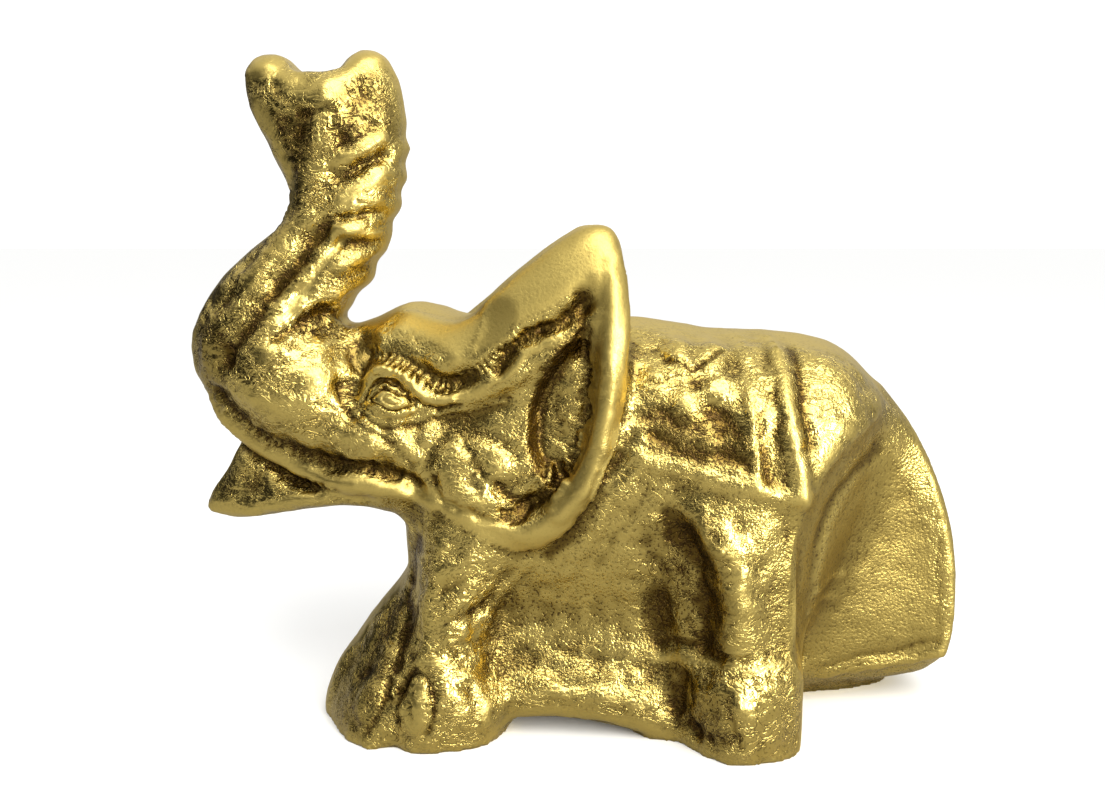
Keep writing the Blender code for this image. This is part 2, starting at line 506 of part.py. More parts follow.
def stand_on_soles(mesh):
    """Cuts the feet flat at the ground, closes them and moves the origin to the box's centre."""
    bm = bmesh.new()
    bm.from_mesh(mesh)
    everything = bm.verts[:] + bm.edges[:] + bm.faces[:]
    cut = bmesh.ops.bisect_plane(bm, geom=everything, dist=1e-7, plane_no=(0, 0, 1), clear_inner=True)
    rim = [item for item in cut["geom_cut"] if isinstance(item, bmesh.types.BMEdge)]
    bmesh.ops.holes_fill(bm, edges=rim, sides=0)
    bmesh.ops.triangulate(bm, faces=bm.faces)
    bmesh.ops.recalc_face_normals(bm, faces=bm.faces)
    spots = np.array([vert.co for vert in bm.verts])
    middle = (spots.min(axis=0) + spots.max(axis=0)) / 2
    bmesh.ops.translate(bm, vec=(-middle[0], -middle[1], 0), verts=bm.verts)
    bm.to_mesh(mesh)
    bm.free()


def brass():
    material = bpy.data.materials.new("brass")
    material.use_nodes = True
    shader = material.node_tree.nodes["Principled BSDF"]
    shader.inputs["Base Color"].default_value = (0.62, 0.44, 0.13, 1.0)
    shader.inputs["Metallic"].default_value = 1.0
    shader.inputs["Roughness"].default_value = 0.35
    return material


def main():
    for item in list(bpy.data.objects):
        bpy.data.objects.remove(item)
    mesh = casting_mesh()
    carve(mesh)
    mesh = with_modifier(mesh, "SMOOTH", factor=0.4, iterations=2)
    mesh = with_modifier(mesh, "TRIANGULATE")
    ratio = FACE_LIMIT / len(mesh.polygons)
    mesh = with_modifier(mesh, "DECIMATE", decimate_type="COLLAPSE", ratio=ratio)
    stand_on_soles(mesh)
    mesh.name = NAME
    mesh.materials.append(brass())
    figure = bpy.data.objects.new(NAME, mesh)
    bpy.context.scene.collection.objects.link(figure)


main()
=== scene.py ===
"""Brass elephant figurine, dressed: the sand-cast skin of one solid casting, its finish and a studio.

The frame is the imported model's: metres, +Z up, the elephant faces -X, its left side faces -Y and the
camera, and its soles stand on z = 0. Marks on the skin are drawn in shares, hundredths of the figure's
height, on the side view (x, z).
"""

import logging
from abc import ABC, abstractmethod
from dataclasses import dataclass, field, replace
from enum import Enum
from typing import Any, Optional

import bmesh
import bpy
import numpy as np
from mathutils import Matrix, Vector

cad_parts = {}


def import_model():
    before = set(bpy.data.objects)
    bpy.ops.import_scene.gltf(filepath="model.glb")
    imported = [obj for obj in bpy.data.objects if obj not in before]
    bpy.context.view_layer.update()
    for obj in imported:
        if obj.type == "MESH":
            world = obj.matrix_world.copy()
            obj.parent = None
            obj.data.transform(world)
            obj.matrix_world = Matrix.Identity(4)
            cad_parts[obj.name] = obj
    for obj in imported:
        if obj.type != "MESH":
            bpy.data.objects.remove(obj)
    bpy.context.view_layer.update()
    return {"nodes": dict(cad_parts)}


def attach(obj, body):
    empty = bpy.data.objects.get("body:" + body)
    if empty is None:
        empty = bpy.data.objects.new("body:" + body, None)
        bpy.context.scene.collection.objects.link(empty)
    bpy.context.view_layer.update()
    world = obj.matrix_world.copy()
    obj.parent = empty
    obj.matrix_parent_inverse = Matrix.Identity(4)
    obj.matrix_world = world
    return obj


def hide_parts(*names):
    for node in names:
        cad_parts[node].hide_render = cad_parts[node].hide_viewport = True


NODE = "elephant_figurine"
SHARE = 0.0009
# The side view's zero is this far, in shares, from the frame's origin.
SHIFT = np.array([0.143, -0.082, 0.0])
# How many points a span of a drawn line and of an outline gets.
LINE_STEPS = 4
OUTLINE_STEPS = 3
# The whole numbers that stir a lattice corner's place and the pattern's seed into a random value.
LATTICE_PRIMES = (73856093, 19349663, 83492791)
SEED_PRIME = 2654435761
STIR_PRIME = 1274126177
# The steps towards the neighbours' mean and back that fair the skin without shrinking it.
FAIR_IN = 0.5
FAIR_OUT = 0.52
# The colour sockets of a Mix node.
MIX_A, MIX_B, MIX_RESULT = 6, 7, 2
REPORT = logging.getLogger("figurine")


class Side(Enum):
    """The side of the figure that carries a mark."""

    LEFT = "left"
    BOTH = "both"


class Form(Enum):
    """The form of the figure that carries a mark."""

    TRUNK = "trunk"
    HEAD = "head"
    EAR = "ear"
    BODY = "body"
    LEG = "leg"
    REAR = "rear"


def smooth_step(value: np.ndarray) -> np.ndarray:
    """Returns 0 below 0, 1 above 1 and 3t^2 - 2t^3 between them."""
    value = np.clip(value, 0.0, 1.0)
    return value * value * (3.0 - 2.0 * value)


def fade_in(value: np.ndarray, start: float, width: float) -> np.ndarray:
    """Returns the smooth step from start on, over a width; with a width below 0 the step falls instead."""
    return smooth_step((value - start) / width)


def smooth_line(points: np.ndarray, steps: int, closed: bool = False) -> np.ndarray:
    """Runs a Catmull-Rom curve through points.

    Args:
        points: The points (x, z) of the line, in order.
        steps: How many points each span gets.
        closed: True where the line returns to its start.

    Returns:
        The points of the curve.
    """
    if closed:
        padded = np.concatenate([points[-1:], points, points[:2]])
    else:
        padded = np.concatenate([points[:1], points, points[-1:]])
    a, b, c, d = padded[:-3, None], padded[1:-2, None], padded[2:-1, None], padded[3:, None]
    t = np.linspace(0.0, 1.0, steps, endpoint=False).reshape(1, steps, 1)
    square, cube = 2 * a - 5 * b + 4 * c - d, 3 * b - a - 3 * c + d
    curve = 0.5 * (2 * b + (c - a) * t + square * t**2 + cube * t**3)
    curve = curve.reshape(-1, 2)
    return curve if closed else np.concatenate([curve, points[-1:]])


def nearest(view: np.ndarray, line: np.ndarray, closed: bool = False) -> tuple[np.ndarray, np.ndarray]:
    """Measures how far points lie from a polyline, as the least distance to any of its spans, and where.

    Args:
        view: The points (x, z).
        line: The polyline's points.
        closed: True where the last point joins the first.

    Returns:
        For each point its distance, and the length along the line to the spot nearest to it.
    """
    ends = np.roll(line, -1, axis=0) if closed else line[1:]
    starts = line if closed else line[:-1]
    best = np.full(len(view), np.inf)
    reach = np.zeros(len(view))
    passed = 0.0
    for a, b in zip(starts, ends):
        run = b - a
        share = np.clip((view - a) @ run / max(run @ run, 1e-9), 0.0, 1.0)
        distance = np.linalg.norm(view - a - share[:, None] * run, axis=1)
        reach = np.where(distance < best, passed + share * np.linalg.norm(run), reach)
        best = np.minimum(best, distance)
        passed += np.linalg.norm(run)
    return best, reach


def inside(view: np.ndarray, line: np.ndarray) -> np.ndarray:
    """Tells which points lie inside a closed polyline, by counting the spans that a level ray crosses.

    Args:
        view: The points (x, z).
        line: The closed polyline's points.

    Returns:
        True or False for each point.
    """
    x, z = view.T
    found = np.zeros(len(view), bool)
    for (xa, za), (xb, zb) in zip(line, np.roll(line, -1, axis=0)):
        crosses = (za > z) != (zb > z)
        rise = zb - za if zb != za else 1.0
        found ^= crosses & (x < (xb - xa) * (z - za) / rise + xa)
    return found


def lattice_noise(points: np.ndarray, cell: float, seed: int) -> np.ndarray:
    """Gives smooth noise: a random value at each corner of a cubic lattice, blended by 3t^2 - 2t^3.

    Args:
        points: The points (x, y, z).
        cell: The lattice's spacing, in the points' unit.
        seed: Which pattern.

    Returns:
        A value from -1 to 1 for each point.
    """
    scaled = points / cell + 512.0
    low = np.floor(scaled).astype(np.int64)
    blend = smooth_step(scaled - low)
    total = np.zeros(len(points))
    for corner in np.ndindex(2, 2, 2):
        key = low + np.array(corner)
        mixed = np.bitwise_xor.reduce(key * np.array(LATTICE_PRIMES), axis=1) ^ seed * SEED_PRIME
        mixed = (mixed ^ (mixed >> 13)) * STIR_PRIME & 0xFFFFFFFF
        weight = np.where(np.array(corner) == 1, blend, 1.0 - blend).prod(axis=1)
        total += weight * (mixed / 2147483648.0 - 1.0)
    return total


@dataclass(frozen=True)
class Mark(ABC):
    """What every mark on the skin has: its rise along the skin's normal in shares, how far it buffs the
    skin smooth, how much soot lies in it, which is patina in its grooves and painted shade where it darkens
    open skin, and the form and side that carry it."""

    form: Form = Form.BODY
    side: Side = Side.BOTH
    rise: float = 0.0
    buffed: float = 0.0
    soot_and_shade: float = 0.0

    @abstractmethod
    def weight(self, view: np.ndarray) -> np.ndarray:
        """Returns the mark's strength, 0 to 1, at each point of the side view."""


@dataclass(frozen=True)
class Stroke(Mark):
    """A ridge, groove or band along a line.

    It fades over its half width, and a flat above 1 gives it a level top.
    """

    path: tuple = ()
    width: float = 1.0
    flat: float = 1.0

    def weight(self, view: np.ndarray) -> np.ndarray:
        """Gives the smooth step of flat times 1 - distance / width, times the pattern.

        Args:
            view: The points (x, z) of the side view.

        Returns:
            The mark's strength, 0 to 1, at each point.
        """
        line = smooth_line(np.array(self.path, float), LINE_STEPS)
        low, high = line.min(axis=0) - self.width, line.max(axis=0) + self.width
        near = np.all((view > low) & (view < high), axis=1)
        strength = np.zeros(len(view))
        distance, reach = nearest(view[near], line)
        strength[near] = smooth_step(self.flat * (1.0 - distance / self.width)) * self.pattern(reach)
        return strength

    def pattern(self, reach: np.ndarray) -> np.ndarray:
        """Returns how strong the stroke is at each length along it: even throughout."""
        return np.ones(len(reach))


@dataclass(frozen=True)
class Comb(Stroke):
    """A row of short marks that stand across a line, like hair or a torn edge."""

    spacing: float = 1.0
    level: float = 0.45
    swing: float = 0.8

    def pattern(self, reach: np.ndarray) -> np.ndarray:
        """Returns the smooth step of level plus swing times a sine wave along the line, unevenly spaced."""
        drift = 1.5 * np.sin(1.1 * reach) + 0.9 * np.sin(2.9 * reach + 1.0)
        return smooth_step(self.level + self.swing * np.sin(2.0 * np.pi * reach / self.spacing + drift))


@dataclass(frozen=True)
class Mound(Mark):
    """An oval swelling or dent that may lie turned in the side view."""

    spot: tuple = (0.0, 0.0)
    half: tuple = (1.0, 1.0)
    turn: float = 0.0

    def weight(self, view: np.ndarray) -> np.ndarray:
        """Gives the smooth step of 1.5 minus the oval's radius at each point, in half sizes.

        Args:
            view: The points (x, z) of the side view.

        Returns:
            The mark's strength, 0 to 1, at each point.
        """
        away = view - np.array(self.spot)
        angle = np.radians(self.turn)
        along = away[:, 0] * np.cos(angle) + away[:, 1] * np.sin(angle)
        across = away[:, 1] * np.cos(angle) - away[:, 0] * np.sin(angle)
        return smooth_step(1.5 - np.hypot(along / self.half[0], across / self.half[1]))


@dataclass(frozen=True)
class Pool(Mark):
    """The area inside a smooth outline, which fades in over its edge."""

    outline: tuple = ()
    edge: float = 1.5

    def weight(self, view: np.ndarray) -> np.ndarray:
        """Gives the smooth step of the depth inside the outline over the edge's width.

        Args:
            view: The points (x, z) of the side view.

        Returns:
            The mark's strength, 0 to 1, at each point.
        """
        line = smooth_line(np.array(self.outline, float), OUTLINE_STEPS, closed=True)
        within = inside(view, line)
        strength = np.zeros(len(view))
        depth = nearest(view[within], line, closed=True)[0]
        strength[within] = smooth_step(depth / self.edge)
        return strength


def carried_by(form: Form, *marks: Mark) -> tuple[Mark, ...]:
    """Returns the marks, each with the form that carries it."""
    return tuple(replace(mark, form=form) for mark in marks)


EAR_OUTLINE = (
    (-20.0, 60.0), (-12.4, 66.1), (-6.6, 71.0), (-1.6, 74.5), (2.2, 75.7), (4.6, 74.2), (5.7, 69.6),
    (6.4, 64.0), (6.2, 58.0), (5.2, 51.0), (3.7, 43.9), (1.3, 37.6), (-2.4, 32.4), (-6.1, 29.6),
    (-9.9, 29.1), (-13.9, 30.5), (-18.0, 33.0), (-23.0, 35.6), (-27.0, 40.0), (-27.4, 47.0), (-25.4, 53.4),
)

TRUNK_MARKS = carried_by(
    Form.TRUNK,
    # Painted shade, laid as soot: the deep yellow of the rear face's upper part, the dark front face between
    # its smooth edge and the gable, the dark outer bend, and the darker rear face over the bend.
    Pool(soot_and_shade=0.65, edge=1.6, outline=(
        (-36.4, 92.0), (-33.0, 96.4), (-29.0, 98.0), (-26.4, 92.0), (-26.8, 87.0), (-35.4, 83.4))),
    Pool(soot_and_shade=0.75, edge=1.2, outline=(
        (-46.4, 92.0), (-41.0, 91.0), (-37.4, 92.0), (-37.2, 86.0), (-38.6, 80.6), (-40.4, 75.6),
        (-45.0, 68.6), (-48.0, 66.0), (-43.6, 74.6), (-42.0, 79.0), (-42.4, 84.0))),
    Pool(soot_and_shade=0.6, edge=1.8, outline=(
        (-56.6, 62.0), (-51.0, 61.6), (-49.0, 57.0), (-50.6, 52.0), (-54.0, 48.0), (-57.6, 53.0))),
    Pool(soot_and_shade=0.5, edge=1.8, outline=(
        (-35.0, 74.0), (-29.4, 73.6), (-29.0, 67.0), (-33.0, 63.6), (-38.0, 65.6))),
    # The flat saddle between the two lips, and the groove under it.
    Stroke(rise=0.25, buffed=1.0, width=2.2, path=(
        (-46.0, 97.0), (-43.9, 97.2), (-41.6, 94.9), (-38.4, 93.4), (-35.0, 94.6), (-32.0, 97.4),
        (-29.0, 99.0))),
    Stroke(rise=-0.35, soot_and_shade=0.3, width=1.2, path=(
        (-43.6, 95.0), (-41.4, 92.2), (-38.4, 90.8), (-35.4, 91.4))),
    # The smooth left edge of the trunk, from the lip down to the neck of the bend.
    Stroke(rise=0.3, buffed=1.0, width=1.7, path=(
        (-46.6, 92.6), (-44.6, 88.6), (-42.6, 84.6), (-41.4, 80.4), (-42.2, 76.6))),
    # The gable down the middle of the trunk's side.
    Stroke(rise=0.9, width=3.4, path=(
        (-36.3, 93.6), (-36.8, 89.8), (-37.5, 85.7), (-38.9, 81.5), (-40.0, 78.0), (-41.7, 74.8),
        (-44.3, 70.6), (-47.4, 65.6), (-49.4, 60.5))),
    # The rings round the rear of the trunk, and the sooty grooves under four of them.
    Stroke(rise=1.05, buffed=0.7, width=1.8, path=((-34.6, 84.1), (-31.7, 85.4), (-29.0, 87.2))),
    Stroke(rise=1.05, buffed=0.6, width=1.8, path=((-34.7, 78.7), (-31.3, 80.8), (-28.8, 82.4))),
    Stroke(rise=0.6, buffed=0.4, width=1.3, path=((-32.4, 77.6), (-29.5, 78.7))),
    Stroke(rise=0.9, buffed=0.5, width=1.5, path=((-35.4, 74.5), (-32.5, 74.2), (-30.4, 74.2))),
    Stroke(rise=0.45, width=1.3, path=((-35.6, 69.6), (-32.6, 70.0), (-29.2, 71.6))),
    Stroke(rise=0.5, width=1.2, path=((-43.4, 61.4), (-39.2, 64.6), (-32.2, 65.2))),
    Stroke(rise=-0.8, buffed=0.3, soot_and_shade=0.45, width=1.5, path=((-34.6, 81.8), (-30.5, 83.8), (-28.4, 84.9))),
    Stroke(rise=-0.7, buffed=0.3, soot_and_shade=0.45, width=1.3, path=((-34.4, 76.2), (-31.2, 76.6), (-29.0, 77.0))),
    Stroke(rise=-0.6, soot_and_shade=0.4, width=1.2, path=((-34.6, 72.4), (-31.0, 72.6), (-27.6, 73.2))),
    Stroke(rise=-0.6, soot_and_shade=0.5, width=1.4, path=(
        (-43.9, 59.0), (-39.3, 62.0), (-34.9, 62.6), (-31.4, 63.0))),
    # The smooth flute beside the rings, which runs down the bend, and the dark groove along it.
    Stroke(rise=-0.3, buffed=0.9, width=1.2, path=(
        (-34.4, 73.4), (-36.6, 70.4), (-39.8, 66.2), (-42.4, 62.0))),
    Stroke(rise=-0.6, soot_and_shade=0.9, width=1.7, path=(
        (-36.6, 74.6), (-39.4, 70.8), (-43.6, 66.0), (-47.4, 61.0), (-50.6, 55.8))),
    # The outer curve of the bend.
    Stroke(rise=0.2, buffed=0.9, width=1.4, path=(
        (-57.0, 60.4), (-58.2, 55.4), (-56.0, 50.6), (-51.6, 45.2))),
)

COMB_MARKS = (
    # Hair over the eye, the torn, wrinkled edges under the ear's roll, inside its rim, over the lip and in
    # the mouth, and the rough skin down the trunk's front and the near hind leg and over the near feet.
    Comb(form=Form.HEAD, rise=-0.42, soot_and_shade=0.8, width=1.6, spacing=0.95, path=(
        (-31.4, 57.0), (-28.4, 56.6), (-25.0, 54.9), (-21.6, 53.0), (-18.6, 52.6))),
    Comb(form=Form.HEAD, rise=-0.5, soot_and_shade=0.9, width=1.5, spacing=1.05, path=(
        (-17.6, 53.6), (-14.6, 55.4), (-11.4, 58.4), (-7.0, 60.9), (-2.4, 62.4), (0.6, 64.4))),
    Comb(form=Form.EAR, rise=-0.55, soot_and_shade=0.8, width=1.7, spacing=1.1, path=(
        (-0.4, 60.0), (-0.2, 54.0), (-0.6, 48.0), (-1.8, 43.0), (-4.4, 38.8), (-8.0, 35.9))),
    Comb(form=Form.HEAD, rise=-0.5, soot_and_shade=0.55, width=1.9, spacing=1.1, path=(
        (-54.4, 51.0), (-50.4, 46.4), (-44.4, 43.2), (-37.4, 41.3), (-30.4, 40.6), (-25.6, 38.6))),
    Comb(form=Form.HEAD, rise=-0.4, soot_and_shade=0.6, width=1.4, spacing=1.1, path=(
        (-53.0, 43.0), (-47.6, 39.9), (-42.0, 37.6), (-36.6, 37.2))),
    Comb(form=Form.TRUNK, rise=-0.25, soot_and_shade=0.6, width=1.9, spacing=1.3, path=(
        (-43.0, 88.0), (-42.0, 83.6), (-42.4, 79.0), (-44.6, 74.0), (-49.0, 67.6), (-53.0, 61.6))),
    Comb(form=Form.LEG, side=Side.LEFT, rise=-0.5, soot_and_shade=0.8, width=1.7, spacing=1.2, path=(
        (17.6, 35.0), (19.6, 29.0), (20.4, 22.0), (20.6, 16.0))),
    Comb(form=Form.LEG, side=Side.LEFT, rise=-0.4, soot_and_shade=0.8, width=1.9, spacing=1.3, path=(
        (14.0, 5.0), (17.4, 3.6), (20.6, 3.6))),
    Comb(form=Form.LEG, side=Side.LEFT, rise=-0.4, soot_and_shade=0.7, width=1.8, spacing=1.2, path=(
        (-28.0, 7.4), (-25.6, 9.0), (-21.8, 8.6))),
)

HEAD_MARKS = carried_by(
    Form.HEAD,
    # The bulge where the trunk leaves the face, and the dent in it.
    Pool(rise=0.7, buffed=0.25, edge=3.0, outline=(
        (-47.8, 53.4), (-42.9, 56.9), (-38.2, 56.4), (-35.2, 54.7), (-34.0, 50.3), (-31.9, 47.7),
        (-27.2, 45.9), (-26.0, 42.2), (-31.7, 42.4), (-36.8, 45.9), (-44.6, 47.6), (-48.4, 50.3))),
    Stroke(rise=1.0, width=6.0, path=(
        (-44.8, 60.0), (-45.6, 55.0), (-44.4, 50.4), (-39.4, 46.6), (-33.0, 43.6))),
    Mound(rise=-0.7, spot=(-34.6, 50.4), half=(3.4, 3.4)),
    # The dark notch between the trunk and the brow.
    Pool(rise=-0.9, buffed=0.4, soot_and_shade=0.75, edge=1.6, outline=(
        (-33.4, 60.4), (-29.0, 60.0), (-29.9, 56.2), (-32.1, 52.9), (-34.9, 55.3))),
    # The brow with the dome above it, and the sooty groove under them.
    Pool(rise=0.5, buffed=1.0, edge=2.0, outline=(
        (-28.3, 59.6), (-26.3, 63.5), (-22.0, 65.2), (-17.0, 63.4), (-12.4, 64.6), (-14.4, 58.8),
        (-18.2, 54.8), (-21.2, 57.4))),
    Stroke(rise=-0.5, soot_and_shade=0.45, width=1.9, path=(
        (-30.6, 56.6), (-27.0, 57.6), (-23.4, 55.2), (-19.4, 53.2), (-15.6, 54.6))),
    # The upper lid, which runs back as the edge under the ear's roll, and the groove under it.
    Stroke(rise=0.5, buffed=1.0, width=0.8, path=(
        (-32.2, 50.8), (-30.6, 53.8), (-28.1, 55.0), (-25.4, 54.0), (-23.4, 51.9), (-21.4, 50.8),
        (-18.0, 51.2), (-14.0, 52.9), (-10.6, 55.2), (-7.0, 58.2), (-4.0, 59.6))),
    Stroke(rise=-0.5, soot_and_shade=0.8, width=0.6, path=(
        (-31.4, 50.6), (-29.9, 52.6), (-27.9, 53.5), (-25.7, 52.5), (-23.8, 50.6), (-21.0, 49.4),
        (-17.6, 49.8))),
    # The almond eyeball, its ring and its pupil, the lower lid and the groove under that.
    Mound(rise=0.3, buffed=0.95, spot=(-27.3, 50.9), half=(2.0, 1.0), turn=-14.0),
    Stroke(rise=-0.45, soot_and_shade=0.8, width=0.45, path=(
        (-30.3, 50.5), (-29.0, 52.1), (-27.2, 52.4), (-25.4, 51.6), (-23.9, 50.2), (-25.6, 49.5),
        (-27.6, 49.3), (-30.3, 50.4))),
    Stroke(rise=-0.22, soot_and_shade=0.6, width=0.3, path=(
        (-28.3, 51.0), (-27.3, 51.6), (-26.3, 50.9), (-27.2, 50.3), (-28.2, 50.8))),
    Stroke(rise=0.3, buffed=0.7, width=0.6, path=(
        (-30.6, 49.6), (-28.6, 48.5), (-25.6, 48.7), (-23.4, 49.7))),
    Stroke(rise=-0.3, soot_and_shade=0.4, width=0.8, path=(
        (-31.6, 48.4), (-29.0, 46.9), (-25.0, 47.0), (-21.4, 48.2))),
    # The temple between the eye and the ear, with a fine wrinkle.
    Pool(rise=-0.25, soot_and_shade=0.25, edge=1.8, outline=(
        (-21.8, 49.6), (-14.4, 51.4), (-10.6, 53.0), (-10.0, 49.6), (-14.6, 46.8), (-21.0, 46.4))),
    Stroke(rise=0.25, width=0.6, path=((-21.6, 48.6), (-16.6, 49.2), (-11.6, 50.6))),
    # The second lump of the cheek, under the eye, and the groove behind the bulge.
    Mound(rise=0.5, buffed=0.2, spot=(-24.4, 43.6), half=(2.2, 3.2), turn=-48.0),
    Stroke(rise=-0.4, soot_and_shade=0.5, width=0.8, path=(
        (-35.2, 52.4), (-34.6, 49.4), (-31.4, 46.6), (-27.0, 44.6), (-24.6, 41.2))),
    # The upper lip's polished band, the sooty groove above it and the mouth below.
    Stroke(rise=0.35, buffed=1.0, width=1.7, flat=1.4, path=(
        (-56.0, 50.4), (-52.6, 46.6), (-47.6, 42.4), (-43.4, 40.2), (-38.4, 38.7), (-32.0, 38.0),
        (-26.4, 37.6), (-22.0, 35.6))),
    Stroke(rise=-0.5, soot_and_shade=0.6, width=1.5, path=(
        (-53.0, 51.4), (-48.6, 46.6), (-42.6, 43.2), (-35.4, 41.2), (-28.0, 39.8), (-23.4, 37.6))),
    Stroke(rise=-0.6, soot_and_shade=0.6, width=1.1, path=(
        (-52.6, 43.4), (-47.6, 40.4), (-43.0, 38.0), (-38.8, 36.9))),
    # The lower jaw's smooth under edge, and the shallow hollow in its side.
    Stroke(rise=0.3, buffed=1.0, width=1.3, path=(
        (-56.4, 32.6), (-51.0, 32.9), (-46.0, 34.2), (-41.0, 35.6), (-36.0, 36.4), (-30.0, 35.9))),
    Pool(rise=-0.2, soot_and_shade=0.1, edge=1.4, outline=(
        (-56.8, 34.2), (-53.4, 42.0), (-50.6, 40.6), (-44.0, 37.9), (-50.0, 35.2))),
)

EAR_MARKS = carried_by(
    Form.EAR,
    # The roll along the ear's top, the smooth rim round its free edge and the fold inside that; the soot on
    # the roll and the fold is painted shade that dulls their highlights.
    Pool(rise=0.2, buffed=1.0, soot_and_shade=0.6, edge=1.2, outline=(
        (-17.0, 56.8), (-12.4, 66.6), (-6.6, 71.4), (-1.6, 75.0), (2.2, 76.2), (4.9, 74.4), (5.9, 66.0),
        (3.4, 60.6), (1.9, 66.0), (-2.4, 65.0), (-7.4, 62.4), (-12.4, 58.6))),
    Stroke(rise=0.35, buffed=1.0, width=2.3, flat=2.2, path=(
        (4.6, 70.0), (4.4, 62.0), (4.2, 55.0), (3.5, 48.0), (2.3, 42.4), (0.2, 37.8), (-3.4, 33.6),
        (-7.0, 31.2), (-10.4, 30.7), (-14.4, 32.3), (-18.8, 35.0), (-22.8, 36.6))),
    Stroke(rise=0.4, buffed=0.9, soot_and_shade=0.4, width=2.4, flat=1.6, path=(
        (2.4, 68.0), (2.4, 61.0), (2.2, 54.0), (1.5, 47.6), (0.2, 42.4), (-1.8, 38.4), (-3.8, 35.6))),
    # The dark, wrinkled crease inside the rim and under the roll.
    Stroke(rise=-0.9, soot_and_shade=0.95, width=1.7, path=(
        (-12.0, 55.6), (-9.4, 58.9), (-6.2, 60.9), (-2.8, 62.4), (0.4, 64.6))),
    Stroke(rise=-0.7, soot_and_shade=0.8, width=1.3, path=(
        (-0.6, 66.0), (-0.1, 61.0), (-0.1, 55.0), (-0.4, 49.0), (-1.5, 44.0), (-4.4, 39.2), (-8.2, 35.8),
        (-11.6, 34.8))),
    # The deep hollow, and painted shade laid in it as soot.
    Pool(rise=-0.9, buffed=0.2, soot_and_shade=1.0, edge=3.4, outline=(
        (-2.2, 59.6), (-5.4, 56.0), (-7.6, 52.0), (-8.6, 47.0), (-7.6, 42.0), (-5.0, 39.4), (-2.6, 41.4),
        (-3.0, 45.4), (-3.4, 48.6), (-2.2, 53.0), (-0.6, 57.0))),
    Pool(soot_and_shade=1.25, edge=2.0, outline=(
        (0.4, 64.4), (-3.4, 61.6), (-6.0, 57.4), (-8.2, 52.6), (-9.4, 46.0), (-8.4, 40.4), (-5.0, 37.6),
        (-1.8, 40.0), (0.0, 44.0), (0.8, 50.0), (1.0, 58.0))),
    # The curls that stand on the hollow's rear wall and floor, and a groove between two of them.
    Mound(rise=0.4, buffed=0.3, soot_and_shade=0.3, spot=(-1.6, 51.2), half=(1.5, 1.3), turn=-24.0),
    Pool(rise=0.5, buffed=0.2, soot_and_shade=0.3, edge=1.0, outline=(
        (-3.2, 53.8), (-0.2, 56.0), (0.0, 48.4), (-0.8, 43.6), (-2.6, 44.4), (-3.4, 48.8))),
    Stroke(rise=0.8, buffed=0.3, width=0.8, path=(
        (-3.6, 50.0), (-2.4, 48.2), (-0.8, 47.2), (-0.5, 45.0), (-2.0, 43.4))),
    Stroke(rise=0.8, buffed=0.3, width=0.8, path=((-4.2, 44.6), (-2.8, 43.2), (-2.8, 41.0))),
    Stroke(rise=0.7, buffed=0.2, width=0.8, path=((-8.4, 38.2), (-6.6, 40.0), (-5.2, 38.6), (-4.8, 41.2))),
    Stroke(rise=-0.5, soot_and_shade=0.9, width=0.8, path=((-3.0, 46.2), (-1.4, 45.6), (-0.9, 43.6))),
    Stroke(rise=0.6, buffed=0.2, width=0.7, path=((-5.6, 37.4), (-4.0, 37.6), (-2.6, 39.4))),
    # The lump in the lower ear, the torn crease under it and the grooves across it.
    Stroke(rise=0.8, width=5.0, path=((-22.0, 44.0), (-19.4, 40.4), (-17.4, 36.6))),
    Pool(rise=0.9, buffed=0.2, edge=2.4, outline=(
        (-22.4, 41.2), (-20.4, 45.6), (-14.8, 46.3), (-10.4, 44.2), (-9.6, 40.0), (-11.4, 38.2),
        (-8.6, 35.4), (-14.0, 33.8), (-18.6, 35.8))),
    Stroke(rise=-0.8, soot_and_shade=1.0, width=0.75, path=(
        (-21.7, 39.4), (-20.9, 37.4), (-18.6, 35.6), (-15.9, 34.9), (-13.8, 33.7), (-11.4, 33.6),
        (-9.2, 33.9), (-8.2, 35.6))),
    Stroke(rise=-0.8, soot_and_shade=1.0, width=1.0, path=((-12.4, 39.0), (-10.8, 37.0), (-8.8, 36.2), (-7.4, 37.0))),
    Stroke(rise=-0.4, soot_and_shade=0.5, width=0.7, path=((-16.6, 44.6), (-14.6, 41.0), (-12.0, 39.4))),
)

